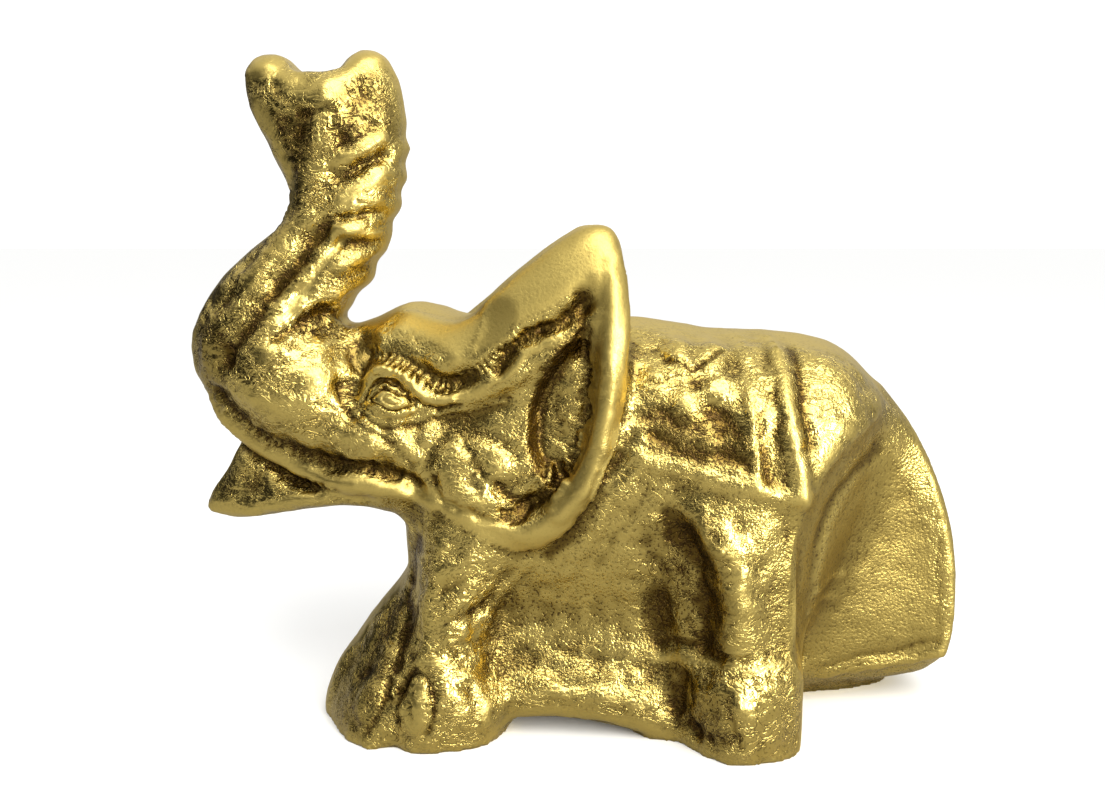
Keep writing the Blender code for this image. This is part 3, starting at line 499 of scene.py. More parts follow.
BODY_MARKS = carried_by(
    Form.BODY,
    # The saddle cloth: its border, its straps, the flower of five petals, and painted shade laid as soot
    # under it.
    Stroke(rise=0.1, buffed=0.3, width=1.2, path=(
        (5.7, 44.7), (7.6, 43.1), (13.1, 41.7), (18.7, 40.2), (23.3, 39.2), (28.5, 38.3))),
    Stroke(rise=-0.4, soot_and_shade=0.5, width=1.4, path=((8.6, 46.6), (13.4, 45.4), (18.9, 44.2), (22.0, 42.6))),
    Stroke(rise=0.1, buffed=0.1, width=1.0, path=((22.2, 60.0), (22.6, 53.0), (22.9, 47.0), (23.4, 39.8))),
    Stroke(rise=0.35, buffed=0.1, width=1.6, path=((24.7, 59.4), (24.6, 53.4), (25.0, 47.9))),
    Stroke(rise=0.25, buffed=0.2, width=1.7, path=((27.5, 59.6), (27.9, 54.0), (28.9, 45.0), (30.0, 37.6))),
    Stroke(rise=-0.35, soot_and_shade=0.9, width=1.1, path=((23.8, 49.4), (24.2, 44.6), (24.8, 40.6))),
    Stroke(rise=-0.25, soot_and_shade=0.5, width=1.1, path=((29.9, 57.6), (30.2, 50.0), (31.2, 43.0), (31.2, 39.6))),
    Stroke(rise=-0.2, soot_and_shade=0.4, width=0.8, path=((26.2, 59.6), (26.4, 53.0), (26.9, 45.0))),
    Mound(rise=0.3, spot=(9.6, 53.4), half=(2.3, 1.7), turn=8.0),
    Mound(rise=0.3, spot=(13.6, 57.4), half=(2.4, 1.6), turn=70.0),
    Mound(rise=0.3, spot=(18.2, 57.0), half=(2.4, 1.7), turn=30.0),
    Mound(rise=0.3, spot=(19.0, 52.4), half=(2.4, 1.7), turn=-30.0),
    Mound(rise=0.3, spot=(14.0, 50.4), half=(2.4, 1.7), turn=80.0),
    Mound(rise=-0.5, soot_and_shade=0.5, spot=(15.4, 53.8), half=(1.6, 1.2)),
    Stroke(rise=-0.55, soot_and_shade=1.0, width=0.6, path=(
        (11.0, 56.6), (13.2, 56.4), (14.8, 55.2), (17.0, 56.2), (19.4, 57.4))),
    Stroke(rise=-0.5, soot_and_shade=1.0, width=0.5, path=((8.6, 53.8), (10.4, 53.6), (11.4, 53.9))),
    Pool(rise=-0.4, soot_and_shade=0.6, edge=1.6, outline=(
        (16.0, 51.4), (20.0, 51.0), (22.0, 47.4), (21.4, 42.4), (17.4, 43.6), (17.4, 47.6))),
    Pool(soot_and_shade=0.85, edge=1.8, outline=(
        (6.8, 51.0), (13.0, 51.0), (22.0, 49.4), (22.6, 41.6), (12.0, 42.6), (7.6, 44.4))),
    Mound(rise=0.5, buffed=0.2, spot=(15.0, 45.8), half=(3.2, 1.4), turn=-8.0),
    # The folds that run down from behind the ear over the web between the legs.
    Stroke(rise=-0.25, soot_and_shade=0.35, width=1.5, path=(
        (6.6, 46.6), (4.9, 43.6), (2.1, 39.3), (0.0, 35.4), (-2.1, 31.7), (-5.0, 28.0))),
    Stroke(rise=0.35, width=1.3, path=((7.7, 42.3), (3.6, 36.8), (0.8, 31.0), (-3.0, 25.0))),
    Stroke(rise=-0.15, soot_and_shade=0.15, width=1.2, path=((9.0, 39.0), (5.4, 33.0), (2.0, 27.0))),
    Stroke(rise=0.3, width=1.2, path=((-8.0, 27.0), (-12.0, 22.0), (-14.4, 17.0))),
    # The web's hollow, its flare to the base, the ledge and the smooth hem.
    Stroke(rise=-0.7, width=8.0, path=((-12.0, 20.0), (-4.0, 18.6), (4.0, 18.4), (9.0, 19.0))),
    Stroke(rise=0.9, width=5.4, path=((-13.0, 6.8), (-4.0, 7.4), (4.0, 7.2), (10.0, 5.8))),
    Stroke(rise=0.4, buffed=0.1, width=1.1, path=((-12.3, 5.6), (-6.4, 6.7), (2.5, 6.7), (10.4, 5.0))),
    Stroke(rise=0.1, buffed=1.0, width=1.5, path=(
        (-13.6, 1.8), (-9.4, 3.3), (-3.5, 4.1), (4.0, 3.4), (9.9, 2.0), (13.0, 0.8))),
)

LEG_MARKS = carried_by(
    Form.LEG,
    # The near front leg: its crest, wrinkles, ankle and big toe.
    Stroke(rise=0.5, width=1.6, path=((-20.6, 29.6), (-21.6, 24.4), (-22.4, 18.0), (-23.4, 12.0))),
    Stroke(rise=-0.4, soot_and_shade=0.45, width=1.6, path=(
        (-24.6, 29.6), (-25.4, 24.0), (-26.2, 17.0), (-27.6, 11.0))),
    Stroke(rise=0.35, width=1.0, path=((-20.7, 25.0), (-16.4, 28.0))),
    Stroke(rise=0.35, width=1.0, path=((-20.0, 20.5), (-15.0, 23.5))),
    Stroke(rise=0.35, width=1.0, path=((-19.4, 16.0), (-13.6, 19.0))),
    Stroke(rise=-0.3, soot_and_shade=0.4, width=0.8, path=((-20.6, 22.8), (-15.6, 25.6))),
    Stroke(rise=-0.3, soot_and_shade=0.4, width=0.8, path=((-19.8, 18.2), (-14.4, 21.0))),
    Stroke(side=Side.LEFT, rise=0.45, buffed=0.3, width=1.0, path=(
        (-25.6, 11.6), (-22.0, 13.0), (-18.0, 11.6), (-15.2, 7.6), (-14.4, 3.6))),
    Mound(side=Side.LEFT, rise=0.5, buffed=0.3, spot=(-24.2, 6.8), half=(1.7, 3.4), turn=-6.0),
    Stroke(side=Side.LEFT, rise=-0.5, soot_and_shade=0.8, width=0.6, path=(
        (-26.6, 4.0), (-26.9, 7.4), (-25.8, 10.6), (-23.8, 11.6), (-22.0, 9.6), (-21.7, 6.0),
        (-22.6, 3.0))),
    Stroke(side=Side.LEFT, rise=-0.4, soot_and_shade=0.5, width=0.5, path=((-24.6, 5.0), (-24.9, 7.6), (-24.0, 9.4))),
    Mound(side=Side.LEFT, rise=0.4, buffed=0.2, spot=(-18.8, 7.2), half=(1.9, 3.4), turn=12.0),
    # The far front leg, which strides ahead, with painted shade laid as soot over it.
    Pool(soot_and_shade=0.5, edge=1.5, outline=(
        (-27.0, 26.0), (-25.0, 22.0), (-27.5, 14.0), (-28.6, 6.0), (-31.0, 1.0), (-38.0, 1.0), (-38.6, 7.0),
        (-34.0, 14.0), (-30.0, 21.0))),
    Stroke(rise=-0.35, soot_and_shade=0.7, width=1.4, path=(
        (-26.0, 22.6), (-28.4, 17.6), (-31.0, 13.0), (-33.6, 8.4))),
    Stroke(rise=0.4, buffed=0.2, width=1.1, path=(
        (-27.4, 25.7), (-30.6, 19.5), (-34.2, 13.1), (-37.4, 7.6))),
    Stroke(rise=-0.5, soot_and_shade=0.8, width=1.0, path=((-28.6, 9.6), (-29.6, 5.8), (-31.6, 2.0))),
    # The near hind leg: painted shade laid as soot over its front face, its front edge and its foot; its
    # crest, its grooves, the ledge over the foot and the toes.
    Pool(side=Side.LEFT, soot_and_shade=0.5, edge=5.0, outline=(
        (7.4, 40.0), (15.6, 40.4), (19.4, 31.0), (21.0, 23.0), (21.2, 13.6), (9.0, 13.0), (6.6, 25.0))),
    Stroke(side=Side.LEFT, soot_and_shade=0.85, width=3.0, flat=1.6, path=(
        (14.0, 38.4), (17.0, 31.0), (18.8, 23.0), (19.2, 15.0))),
    Pool(side=Side.LEFT, soot_and_shade=0.6, edge=3.0, outline=(
        (12.0, 12.4), (20.4, 12.8), (21.8, 7.0), (21.6, 1.0), (13.0, 1.6))),
    Stroke(side=Side.LEFT, rise=1.7, width=4.2, path=(
        (15.4, 38.1), (19.6, 30.2), (21.2, 22.4), (21.5, 17.0))),
    Stroke(side=Side.LEFT, rise=0.6, width=3.6, path=((21.5, 11.0), (21.6, 7.0), (21.6, 3.0))),
    Stroke(side=Side.LEFT, rise=0.3, width=1.4, path=(
        (14.9, 37.1), (18.8, 30.2), (20.5, 20.4), (21.0, 14.0))),
    Stroke(side=Side.LEFT, rise=-1.0, width=4.8, path=(
        (28.8, 40.0), (28.4, 32.0), (28.4, 24.0), (28.8, 14.0), (29.6, 3.0))),
    Stroke(side=Side.LEFT, rise=-0.9, soot_and_shade=0.4, width=3.6, path=(
        (12.0, 35.0), (15.0, 28.0), (16.4, 20.0), (16.8, 15.0))),
    Stroke(side=Side.LEFT, rise=-0.4, soot_and_shade=0.1, width=4.0, path=((9.0, 31.0), (10.4, 23.0), (11.0, 16.0))),
    Stroke(side=Side.LEFT, rise=0.5, buffed=0.8, width=1.1, path=(
        (10.3, 12.2), (14.5, 13.2), (20.6, 13.7), (28.0, 14.1))),
    Stroke(side=Side.LEFT, rise=-0.4, soot_and_shade=0.6, width=1.0, path=((10.8, 14.6), (15.0, 15.4), (20.6, 15.9))),
    Stroke(side=Side.LEFT, rise=-0.45, soot_and_shade=0.8, width=1.0, path=((14.6, 11.0), (15.0, 6.0), (16.4, 2.6))),
    Stroke(side=Side.LEFT, rise=-0.4, soot_and_shade=0.7, width=0.9, path=((20.6, 12.0), (20.4, 7.6), (21.8, 3.0))),
    Mound(side=Side.LEFT, rise=0.35, buffed=0.1, spot=(18.2, 7.4), half=(1.7, 3.2)),
    Mound(side=Side.LEFT, rise=0.35, buffed=0.1, spot=(25.4, 7.6), half=(3.0, 3.4)),
    Stroke(side=Side.LEFT, rise=-0.35, soot_and_shade=0.5, width=1.2, path=(
        (15.4, 30.0), (16.6, 22.0), (16.8, 15.8))),
)

REAR_MARKS = carried_by(
    Form.REAR,
    # The rolled rear edge of the thigh, painted shade laid as soot along its bevel, and the groove behind it.
    Stroke(side=Side.LEFT, rise=0.35, buffed=0.3, width=3.4, path=(
        (42.0, 50.0), (37.6, 47.6), (33.4, 44.4), (30.6, 40.6), (29.2, 36.0))),
    Stroke(side=Side.LEFT, buffed=0.6, soot_and_shade=0.85, width=3.6, path=(
        (42.6, 47.0), (39.0, 44.8), (35.4, 41.6), (32.6, 38.0), (31.0, 33.6), (30.2, 28.0), (30.0, 19.0),
        (30.0, 13.6))),
    Stroke(side=Side.LEFT, rise=-0.4, buffed=0.4, soot_and_shade=0.6, width=2.2, path=(
        (43.6, 42.4), (40.6, 40.4), (37.0, 37.6), (34.6, 33.4), (33.3, 27.4), (32.9, 16.1), (33.0, 9.0))),
    # The smooth rear panel, darkened by painted shade laid as soot: a few short wrinkles, the tail's line,
    # and the ledge at its foot.
    Pool(side=Side.LEFT, buffed=0.55, soot_and_shade=0.65, edge=2.6, outline=(
        (45.6, 44.0), (52.0, 34.0), (55.4, 24.0), (56.2, 8.0), (36.0, 6.0), (33.8, 16.0), (34.2, 28.0),
        (38.0, 37.6))),
    Stroke(side=Side.LEFT, rise=0.3, width=1.0, path=((33.6, 21.0), (37.0, 22.6), (40.0, 22.4))),
    Stroke(side=Side.LEFT, rise=0.3, width=0.9, path=((33.8, 18.6), (36.6, 19.4), (39.0, 18.8))),
    Stroke(side=Side.LEFT, rise=-0.15, soot_and_shade=0.35, width=0.7, path=(
        (54.9, 27.3), (55.5, 17.6), (55.7, 9.4))),
    Stroke(side=Side.LEFT, rise=-0.3, soot_and_shade=0.4, width=0.8, path=(
        (37.6, 6.4), (44.1, 8.2), (50.4, 9.2), (56.0, 11.0))),
    Stroke(side=Side.LEFT, rise=0.4, buffed=0.5, width=1.0, path=(
        (37.6, 4.6), (44.1, 6.0), (50.4, 7.0), (56.6, 9.0))),
    Stroke(side=Side.LEFT, rise=0.25, buffed=0.4, width=0.9, path=((31.6, 3.4), (33.0, 7.6), (34.2, 6.0))),
)

MARKS = COMB_MARKS + TRUNK_MARKS + HEAD_MARKS + EAR_MARKS + BODY_MARKS + LEG_MARKS + REAR_MARKS

# Where the solid's folds are softened before carving: the outline of each area (x, z).
EASED = (
    ((-30.0, 58.6), (-26.6, 63.4), (-21.6, 65.4), (-16.6, 63.6), (-11.0, 65.6), (-9.6, 61.6),
     (-15.0, 57.0), (-21.0, 56.6)),
    ((31.2, 39.6), (36.4, 44.8), (45.4, 48.4), (53.0, 36.0), (56.2, 24.0), (56.6, 9.0), (36.0, 8.0),
     (30.8, 15.0), (29.8, 28.0)),
)

# Where the carving is finest the squares are halved: the middle (x, z) and radius of each zone, in turn.
FINE_ZONES = (((-26.0, 52.4), 8.0), ((-2.0, 48.0), 11.0), ((-10.0, 58.0), 6.0), ((-26.8, 51.4), 4.6))

# How coarse the sand's print is: the middle (x, z), the half sizes and the coarseness of each area.
GRIT_AREAS = (
    ((-40.0, 86.0), (12.0, 16.0), 1.0),
    ((-48.0, 62.0), (14.0, 14.0), 0.95),
    ((-40.0, 48.0), (16.0, 9.0), 0.75),
    ((-46.0, 36.0), (14.0, 5.0), 0.9),
    ((-16.0, 41.0), (9.0, 7.0), 0.8),
    ((0.0, 48.0), (7.0, 16.0), 0.6),
    ((18.0, 52.0), (16.0, 12.0), 0.55),
    ((38.0, 50.0), (10.0, 9.0), 0.5),
    ((-26.0, 16.0), (14.0, 18.0), 0.9),
    ((22.0, 8.0), (11.0, 8.0), 0.9),
    ((16.0, 26.0), (9.0, 14.0), 0.65),
    ((0.0, 8.0), (14.0, 7.0), 0.6),
)


@dataclass
class Skin:
    """The casting's surface as arrays: its points in metres and what each carries.

    Args:
        mesh: The mesh whose vertices it reads.
    """

    mesh: bpy.types.Mesh
    points: np.ndarray = field(init=False)
    edges: np.ndarray = field(init=False)
    buffed: np.ndarray = field(init=False)
    soot_and_shade: np.ndarray = field(init=False)
    grit: np.ndarray = field(init=False)

    def __post_init__(self) -> None:
        """Reads the points and edges and starts at zero buffing, grit, soot and painted shade."""
        self.points = self.read(self.mesh.vertices, "co", 3, float)
        self.edges = self.read(self.mesh.edges, "vertices", 2, int)
        self.buffed = np.zeros(len(self.points))
        self.soot_and_shade = np.zeros(len(self.points))
        self.grit = np.zeros(len(self.points))

    @staticmethod
    def read(layer: Any, name: str, width: int, kind: type) -> np.ndarray:
        """Reads one property of a mesh layer.

        Args:
            layer: The layer, such as a mesh's vertices.
            name: The property's name.
            width: How many numbers it has.
            kind: Their type.

        Returns:
            One row for each element.
        """
        values = np.empty(len(layer) * width, kind)
        layer.foreach_get(name, values)
        return values.reshape(-1, width)

    def normals(self) -> np.ndarray:
        """Writes the points to the mesh and reads its normals.

        Returns:
            The outward normal at each point.
        """
        self.mesh.vertices.foreach_set("co", self.points.ravel())
        self.mesh.update()
        return self.read(self.mesh.vertex_normals, "vector", 3, float)

    def calm_normals(self, passes: int) -> np.ndarray:
        """Averages the normals with the neighbours', so that a fold's walls don't cross when they are moved.

        Args:
            passes: How many rounds of averaging.

        Returns:
            A unit normal at each point.
        """
        normals = self.normals()
        for _ in range(passes):
            normals = 0.5 * (normals + self.spread(normals))
        return normals / np.linalg.norm(normals, axis=1)[:, None]

    def spread(self, values: np.ndarray) -> np.ndarray:
        """Averages values over each point's neighbours, along the mesh's edges.

        Args:
            values: A row for each point.

        Returns:
            The mean row of each point's neighbours.
        """
        count = len(self.points)
        a, b = self.edges.T
        degree = np.bincount(a, minlength=count) + np.bincount(b, minlength=count)
        total = [np.bincount(a, part[b], count) + np.bincount(b, part[a], count) for part in values.T]
        return np.stack(total, axis=1) / degree[:, None]

    def fair(self, passes: int) -> None:
        """Takes the facets off: steps towards the neighbours' mean and, a little longer, back, in turn.

        Args:
            passes: How many pairs of steps.
        """
        for _ in range(passes):
            self.points += FAIR_IN * (self.spread(self.points) - self.points)
            self.points -= FAIR_OUT * (self.spread(self.points) - self.points)

    def hollow(self, passes: int) -> np.ndarray:
        """Measures how far each point lies under its surroundings.

        Args:
            passes: How many rounds of averaging make the surroundings.

        Returns:
            Metres along the normal, above 0 in a hollow and below 0 on a crest.
        """
        normals = self.normals()
        around = self.points
        for _ in range(passes):
            around = self.spread(around)
        return ((around - self.points) * normals).sum(axis=1)


@dataclass(frozen=True)
class Weather:
    """How soot gathers in the skin's hollows as patina, joined by the marks' soot and painted shade, and its
    crests are rubbed bright.

    A depth is in metres, and its passes say how wide the surroundings are that it is measured from.
    """

    fine_passes: int = 3
    fine_depth: float = 0.00004
    fine_soot: float = 0.12
    broad_passes: int = 24
    broad_depth: float = 0.00030
    broad_soot: float = 0.5
    # How much of the marks' own soot and painted shade is laid.
    marked_soot_and_shade: float = 0.8
    # How many broad depths a crest stands out before it is rubbed, how bright, and how much soot that takes.
    rubbed_from: float = 0.8
    rubbed: float = 0.6
    rubbed_off: float = 0.7

    def lay(self, skin: Skin) -> None:
        """Stores the soot and painted shade, the buffing and the grit on the mesh.

        Args:
            skin: The surface, whose mesh gets the attributes of soot and painted shade, of buffing and of
                grit.
        """
        fine = self.fine_soot * smooth_step(skin.hollow(self.fine_passes) / self.fine_depth)
        broad = skin.hollow(self.broad_passes) / self.broad_depth
        # The hollows' soot is patina; the marks' soot is partly painted shade.
        soot_and_shade = np.clip(self.marked_soot_and_shade * skin.soot_and_shade + fine + self.broad_soot * smooth_step(broad), 0.0, 1.0)
        buffed = np.clip(skin.buffed + self.rubbed * smooth_step(-broad - self.rubbed_from), 0.0, 1.0)
        stored = {"soot_and_shade": soot_and_shade * (1.0 - self.rubbed_off * buffed), "buffed": buffed, "grit": skin.grit}
        for name, values in stored.items():
            layer = skin.mesh.attributes.new(name, "FLOAT", "POINT")
            layer.data.foreach_set("value", values.astype(np.float32))


@dataclass
class Casting:
    """The whole figurine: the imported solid's skin, drawn finer, with the carving and the sand's marks.

    The voxel, the lumps and the sole's height are in metres, and the other lengths in shares. A pair whose
    comment says so is where a fade starts and its width, and a width below 0 means that it falls.
    """

    voxel: float = 0.00058
    fairing_passes: int = 14
    touch_up_passes: int = 2
    calming_passes: int = 6
    easing_passes: int = 220
    easing_step: float = 0.6
    easing_edge: float = 1.6
    # The fade of the easing towards the far side, across the figure.
    eased_side: tuple = (2.0, -4.0)
    # The ear's outer face: how far out it stands at its root, how that grows rearwards, and its lean inwards
    # above the bend. Then the fade from the head's wall to the face.
    ear_out: float = 10.9
    ear_flare: float = 0.21
    ear_root: float = -21.0
    ear_lean: float = 0.2
    ear_bend: float = 56.0
    ear_wall: tuple = (-4.4, 1.2)
    # The fades of the other forms along or up the side view, and of how far the skin faces sideways.
    head_back: tuple = (-13.0, -3.0)
    body_front: tuple = (-16.0, 3.0)
    rear_front: tuple = (24.0, 4.0)
    leg_top: tuple = (40.0, -8.0)
    facing: tuple = (0.12, 0.4)
    # How much of a mark stays where the trunk or a leg turns away.
    trunk_turned: float = 0.2
    leg_turned: float = 0.25
    # How far a mark of one side reaches over the middle.
    side_overlap: float = 2.0
    # How the lines waver: cell and reach, and the pattern for each direction.
    waver: tuple = ((2.6, 0.35), (0.95, 0.22))
    waver_seeds: tuple = (21, 22)
    # The filed parting line: the fade by how far the skin faces sideways, and how much it takes off.
    filed_face: tuple = (0.52, -0.3)
    filed_share: float = 0.9
    # Lumps left by the sand mould: cell size in metres, height in metres and pattern; how far the pattern
    # slides with the normal, in cells; how much buffing takes off; and how much is left where the grit is 0.
    lumps: tuple = ((0.0050, 0.00024, 3), (0.0028, 0.00025, 7), (0.0017, 0.00024, 11), (0.0011, 0.00013, 13))
    lump_slide: float = 0.4
    lumps_buffed: float = 0.9
    lumps_least: float = 0.35
    # The skin below this height that faces down at least this much is the soles.
    sole_height: float = 0.0005
    sole_facing: float = -0.6
    weather: Weather = Weather()

    def build(self, source: bpy.types.Object) -> bpy.types.Object:
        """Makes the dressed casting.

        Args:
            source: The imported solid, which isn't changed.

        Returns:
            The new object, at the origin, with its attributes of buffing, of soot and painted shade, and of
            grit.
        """
        mesh = self.finer(self.merged(source))
        plain = Skin(mesh)
        plain.fair(self.fairing_passes)
        self.ease(plain)
        mesh.vertices.foreach_set("co", plain.points.ravel())
        for middle, radius in FINE_ZONES:
            self.halve(mesh, np.array(middle), radius)
        skin = Skin(mesh)
        skin.fair(self.touch_up_passes)
        self.carve(skin)
        self.roughen(skin)
        self.stand(skin)
        self.weather.lay(skin)
        mesh.shade_smooth()
        mesh.name = "brass_casting"
        figure = bpy.data.objects.new("brass_casting", mesh)
        bpy.context.scene.collection.objects.link(figure)
        REPORT.info("casting: %d points, %d faces", len(mesh.vertices), len(mesh.polygons))
        return figure

    @staticmethod
    def merged(source: bpy.types.Object) -> bpy.types.Mesh:
        """Joins a copy of the solid's loose triangles at their corners.

        Args:
            source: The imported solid, which isn't changed.

        Returns:
            The new mesh.
        """
        bm = bmesh.new()
        bm.from_mesh(source.data)
        bmesh.ops.remove_doubles(bm, verts=bm.verts[:], dist=1e-6)
        mesh = bpy.data.meshes.new("casting_solid")
        bm.to_mesh(mesh)
        bm.free()
        return mesh

    def finer(self, mesh: bpy.types.Mesh) -> bpy.types.Mesh:
        """Draws the mesh again in even small squares.

        Args:
            mesh: A closed mesh, which is removed.

        Returns:
            The new mesh.
        """
        holder = bpy.data.objects.new("casting_step", mesh)
        bpy.context.scene.collection.objects.link(holder)
        remesh = holder.modifiers.new("squares", "REMESH")
        remesh.mode = "VOXEL"
        remesh.voxel_size = self.voxel
        graph = bpy.context.evaluated_depsgraph_get()
        made = bpy.data.meshes.new_from_object(holder.evaluated_get(graph))
        bpy.data.objects.remove(holder)
        bpy.data.meshes.remove(mesh)
        return made

    def ease(self, skin: Skin) -> None:
        """Softens the near side's folds inside each eased area: points drift to their neighbours' mean.

        Args:
            skin: The faired skin, which is changed.
        """
        spots = skin.points / SHARE + SHIFT
        weight = np.zeros(len(spots))
        for outline in EASED:
            area = Pool(outline=outline, edge=self.easing_edge)
            weight = np.maximum(weight, area.weight(spots[:, [0, 2]]))
        weight *= fade_in(spots[:, 1], *self.eased_side)
        for _ in range(self.easing_passes):
            skin.points += self.easing_step * weight[:, None] * (skin.spread(skin.points) - skin.points)

    @staticmethod
    def halve(mesh: bpy.types.Mesh, middle: np.ndarray, radius: float) -> None:
        """Splits every square of one zone into four.

        Args:
            mesh: The casting's mesh, which is changed.
            middle: The zone's middle (x, z) in shares.
            radius: The zone's radius in shares.
        """
        spots = Skin.read(mesh.vertices, "co", 3, float) / SHARE + SHIFT
        within = np.hypot(spots[:, 0] - middle[0], spots[:, 2] - middle[1]) < radius
        bm = bmesh.new()
        bm.from_mesh(mesh)
        chosen = [edge for edge in bm.edges if within[edge.verts[0].index] and within[edge.verts[1].index]]
        bmesh.ops.subdivide_edges(bm, edges=chosen, cuts=1, use_grid_fill=True)
        bmesh.ops.triangulate(bm, faces=[face for face in bm.faces if len(face.verts) > 4])
        bm.to_mesh(mesh)
        bm.free()

    def forms(self, spots: np.ndarray, normals: np.ndarray) -> dict[Form, np.ndarray]:
        """Says how far each point belongs to each form, from its place and the way it faces.

        Args:
            spots: The points in shares.
            normals: The outward normals.

        Returns:
            For each form, a value from 0 to 1 for each point.
        """
        x, y, z = spots.T
        facing = fade_in(np.abs(normals[:, 1]), *self.facing)
        lean = self.ear_lean * np.maximum(z - self.ear_bend, 0.0)
        out = self.ear_out + self.ear_flare * (x - self.ear_root) - lean
        ear = inside(spots[:, [0, 2]], np.array(EAR_OUTLINE)) * fade_in(np.abs(y) - out, *self.ear_wall)
        trunk = facing * (1.0 - self.trunk_turned) + self.trunk_turned
        leg = facing * (1.0 - self.leg_turned) + self.leg_turned
        return {
            Form.TRUNK: trunk,
            Form.HEAD: facing * np.maximum(fade_in(x, *self.head_back), ear),
            Form.EAR: facing * ear,
            Form.BODY: facing * (1.0 - ear) * fade_in(x, *self.body_front),
            Form.LEG: fade_in(z, *self.leg_top) * leg,
            Form.REAR: facing * fade_in(x, *self.rear_front),
        }

    def carve(self, skin: Skin) -> None:
        """Moves the skin along its normals by the sum of the marks, and notes their buffing and their soot
        and painted shade.

        Args:
            skin: The surface, which is changed.
        """
        normals = skin.normals()
        spots = skin.points / SHARE + SHIFT
        view = spots[:, [0, 2]]
        forms = self.forms(spots, normals)
        sides = {Side.LEFT: spots[:, 1] < self.side_overlap, Side.BOTH: 1.0}
        # The lines waver as hand-cut ones do.
        wavering = view.copy()
        for cell, reach in self.waver:
            shifts = [lattice_noise(spots, cell, seed) for seed in self.waver_seeds]
            wavering += reach * np.stack(shifts, axis=1)
        moved = np.zeros(len(spots))
        for mark in MARKS:
            weight = mark.weight(wavering) * forms[mark.form] * sides[mark.side]
            moved += weight * mark.rise
            skin.buffed = np.maximum(skin.buffed, weight * mark.buffed)
            # A mark's soot is patina in its grooves and painted shade where it darkens open skin.
            skin.soot_and_shade = np.maximum(skin.soot_and_shade, weight * mark.soot_and_shade)
        # The parting line of the mould, round the side view's outline, was filed smooth.
        filed = self.filed_share * fade_in(np.abs(normals[:, 1]), *self.filed_face)
        skin.buffed = np.maximum(skin.buffed, filed)
        for middle, half, coarse in GRIT_AREAS:
            skin.grit = np.maximum(skin.grit, coarse * Mound(spot=middle, half=half).weight(view))
        moved = moved * (1.0 - filed)
        skin.points += skin.calm_normals(self.calming_passes) * (moved * SHARE)[:, None]

    def roughen(self, skin: Skin) -> None:
        """Adds the mould's lumps where the skin isn't buffed: noise of four sizes along the normals.

        Args:
            skin: The surface, which is changed.
        """
        normals = skin.calm_normals(self.calming_passes)
        coarse = self.lumps_least + (1.0 - self.lumps_least) * skin.grit
        rough = (1.0 - self.lumps_buffed * skin.buffed) * coarse
        for cell, height, seed in self.lumps:
            noise = lattice_noise(skin.points + self.lump_slide * cell * normals, cell, seed)
            skin.points += normals * (noise * height * rough)[:, None]

    def stand(self, skin: Skin) -> None:
        """Sets the soles flat on the ground and keeps everything above it.

        Args:
            skin: The surface, which is changed.
        """
        normals = skin.normals()
        sole = (skin.points[:, 2] < self.sole_height) & (normals[:, 2] < self.sole_facing)
        skin.points[sole, 2] = 0.0
        skin.points[:, 2] = np.maximum(skin.points[:, 2], 0.0)

    @staticmethod
    def dress(figure: bpy.types.Object, finish: bpy.types.Material) -> None:
        """Args:
            figure: The casting.
            finish: Its material.
        """
        figure.data.materials.clear()
        figure.data.materials.append(finish)
        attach(figure, "root")
        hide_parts(NODE)


class NodeBoard:
    """Places nodes on one tree and joins them."""

    def __init__(self, tree: bpy.types.NodeTree) -> None:
        """Takes the tree and clears it."""
        self.tree = tree
        self.tree.nodes.clear()

    def add(self, kind: str, inputs: Optional[dict[str, Any]] = None, **settings: Any) -> bpy.types.Node:
        """Adds one node.

        Args:
            kind: The node's type name.
            inputs: For each input's name, a value or the output socket that feeds it.
            **settings: The node's own properties.

        Returns:
            The new node.
        """
        node = self.tree.nodes.new(kind)
        for name, value in settings.items():
            setattr(node, name, value)
        for name, value in (inputs or {}).items():
            self.feed(node.inputs[name], value)
        return node

    def feed(self, socket: bpy.types.NodeSocket, value: Any) -> None:
        """Links an output to a socket, or sets the socket's own value.

        Args:
            socket: The input socket.
            value: The output socket that feeds it, or a value.
        """
        if isinstance(value, bpy.types.NodeSocket):
            self.tree.links.new(value, socket)
        else:
            socket.default_value = value

    def math(self, operation: str, a: Any, b: Any = 0.0, clamp: bool = False) -> bpy.types.NodeSocket:
        """Adds one Math node.

        Args:
            operation: The node's operation.
            a: The first value or output socket.
            b: The second value or output socket.
            clamp: True to keep the result between 0 and 1.

        Returns:
            The node's output.
        """
        node = self.tree.nodes.new("ShaderNodeMath")
        node.operation = operation
        node.use_clamp = clamp
        self.feed(node.inputs[0], a)
        self.feed(node.inputs[1], b)
        return node.outputs[0]

    def ramp(self, value: Any, low: float, high: float, to_low: float = 0.0, to_high: float = 1.0) -> Any:
        """Adds a Map Range node with a smooth step.

        Args:
            value: The value or output socket to map.
            low: Where the step starts.
            high: Where it ends.
            to_low: The result at low.
            to_high: The result at high.

        Returns:
            The node's output.
        """
        limits = {"From Min": low, "From Max": high, "To Min": to_low, "To Max": to_high}
        node = self.add("ShaderNodeMapRange", {"Value": value, **limits})
        node.interpolation_type = "SMOOTHSTEP"
        return node.outputs["Result"]

    def mix(self, factor: Any, a: Any, b: Any) -> bpy.types.NodeSocket:
        """Adds a mix of two colours.

        Args:
            factor: How much of b, from 0 to 1.
            a: The first colour or output socket.
            b: The second colour or output socket.

        Returns:
            The node's output.
        """
        node = self.tree.nodes.new("ShaderNodeMix")
        node.data_type = "RGBA"
        self.feed(node.inputs["Factor"], factor)
        self.feed(node.inputs[MIX_A], a)
        self.feed(node.inputs[MIX_B], b)
        return node.outputs[MIX_RESULT]


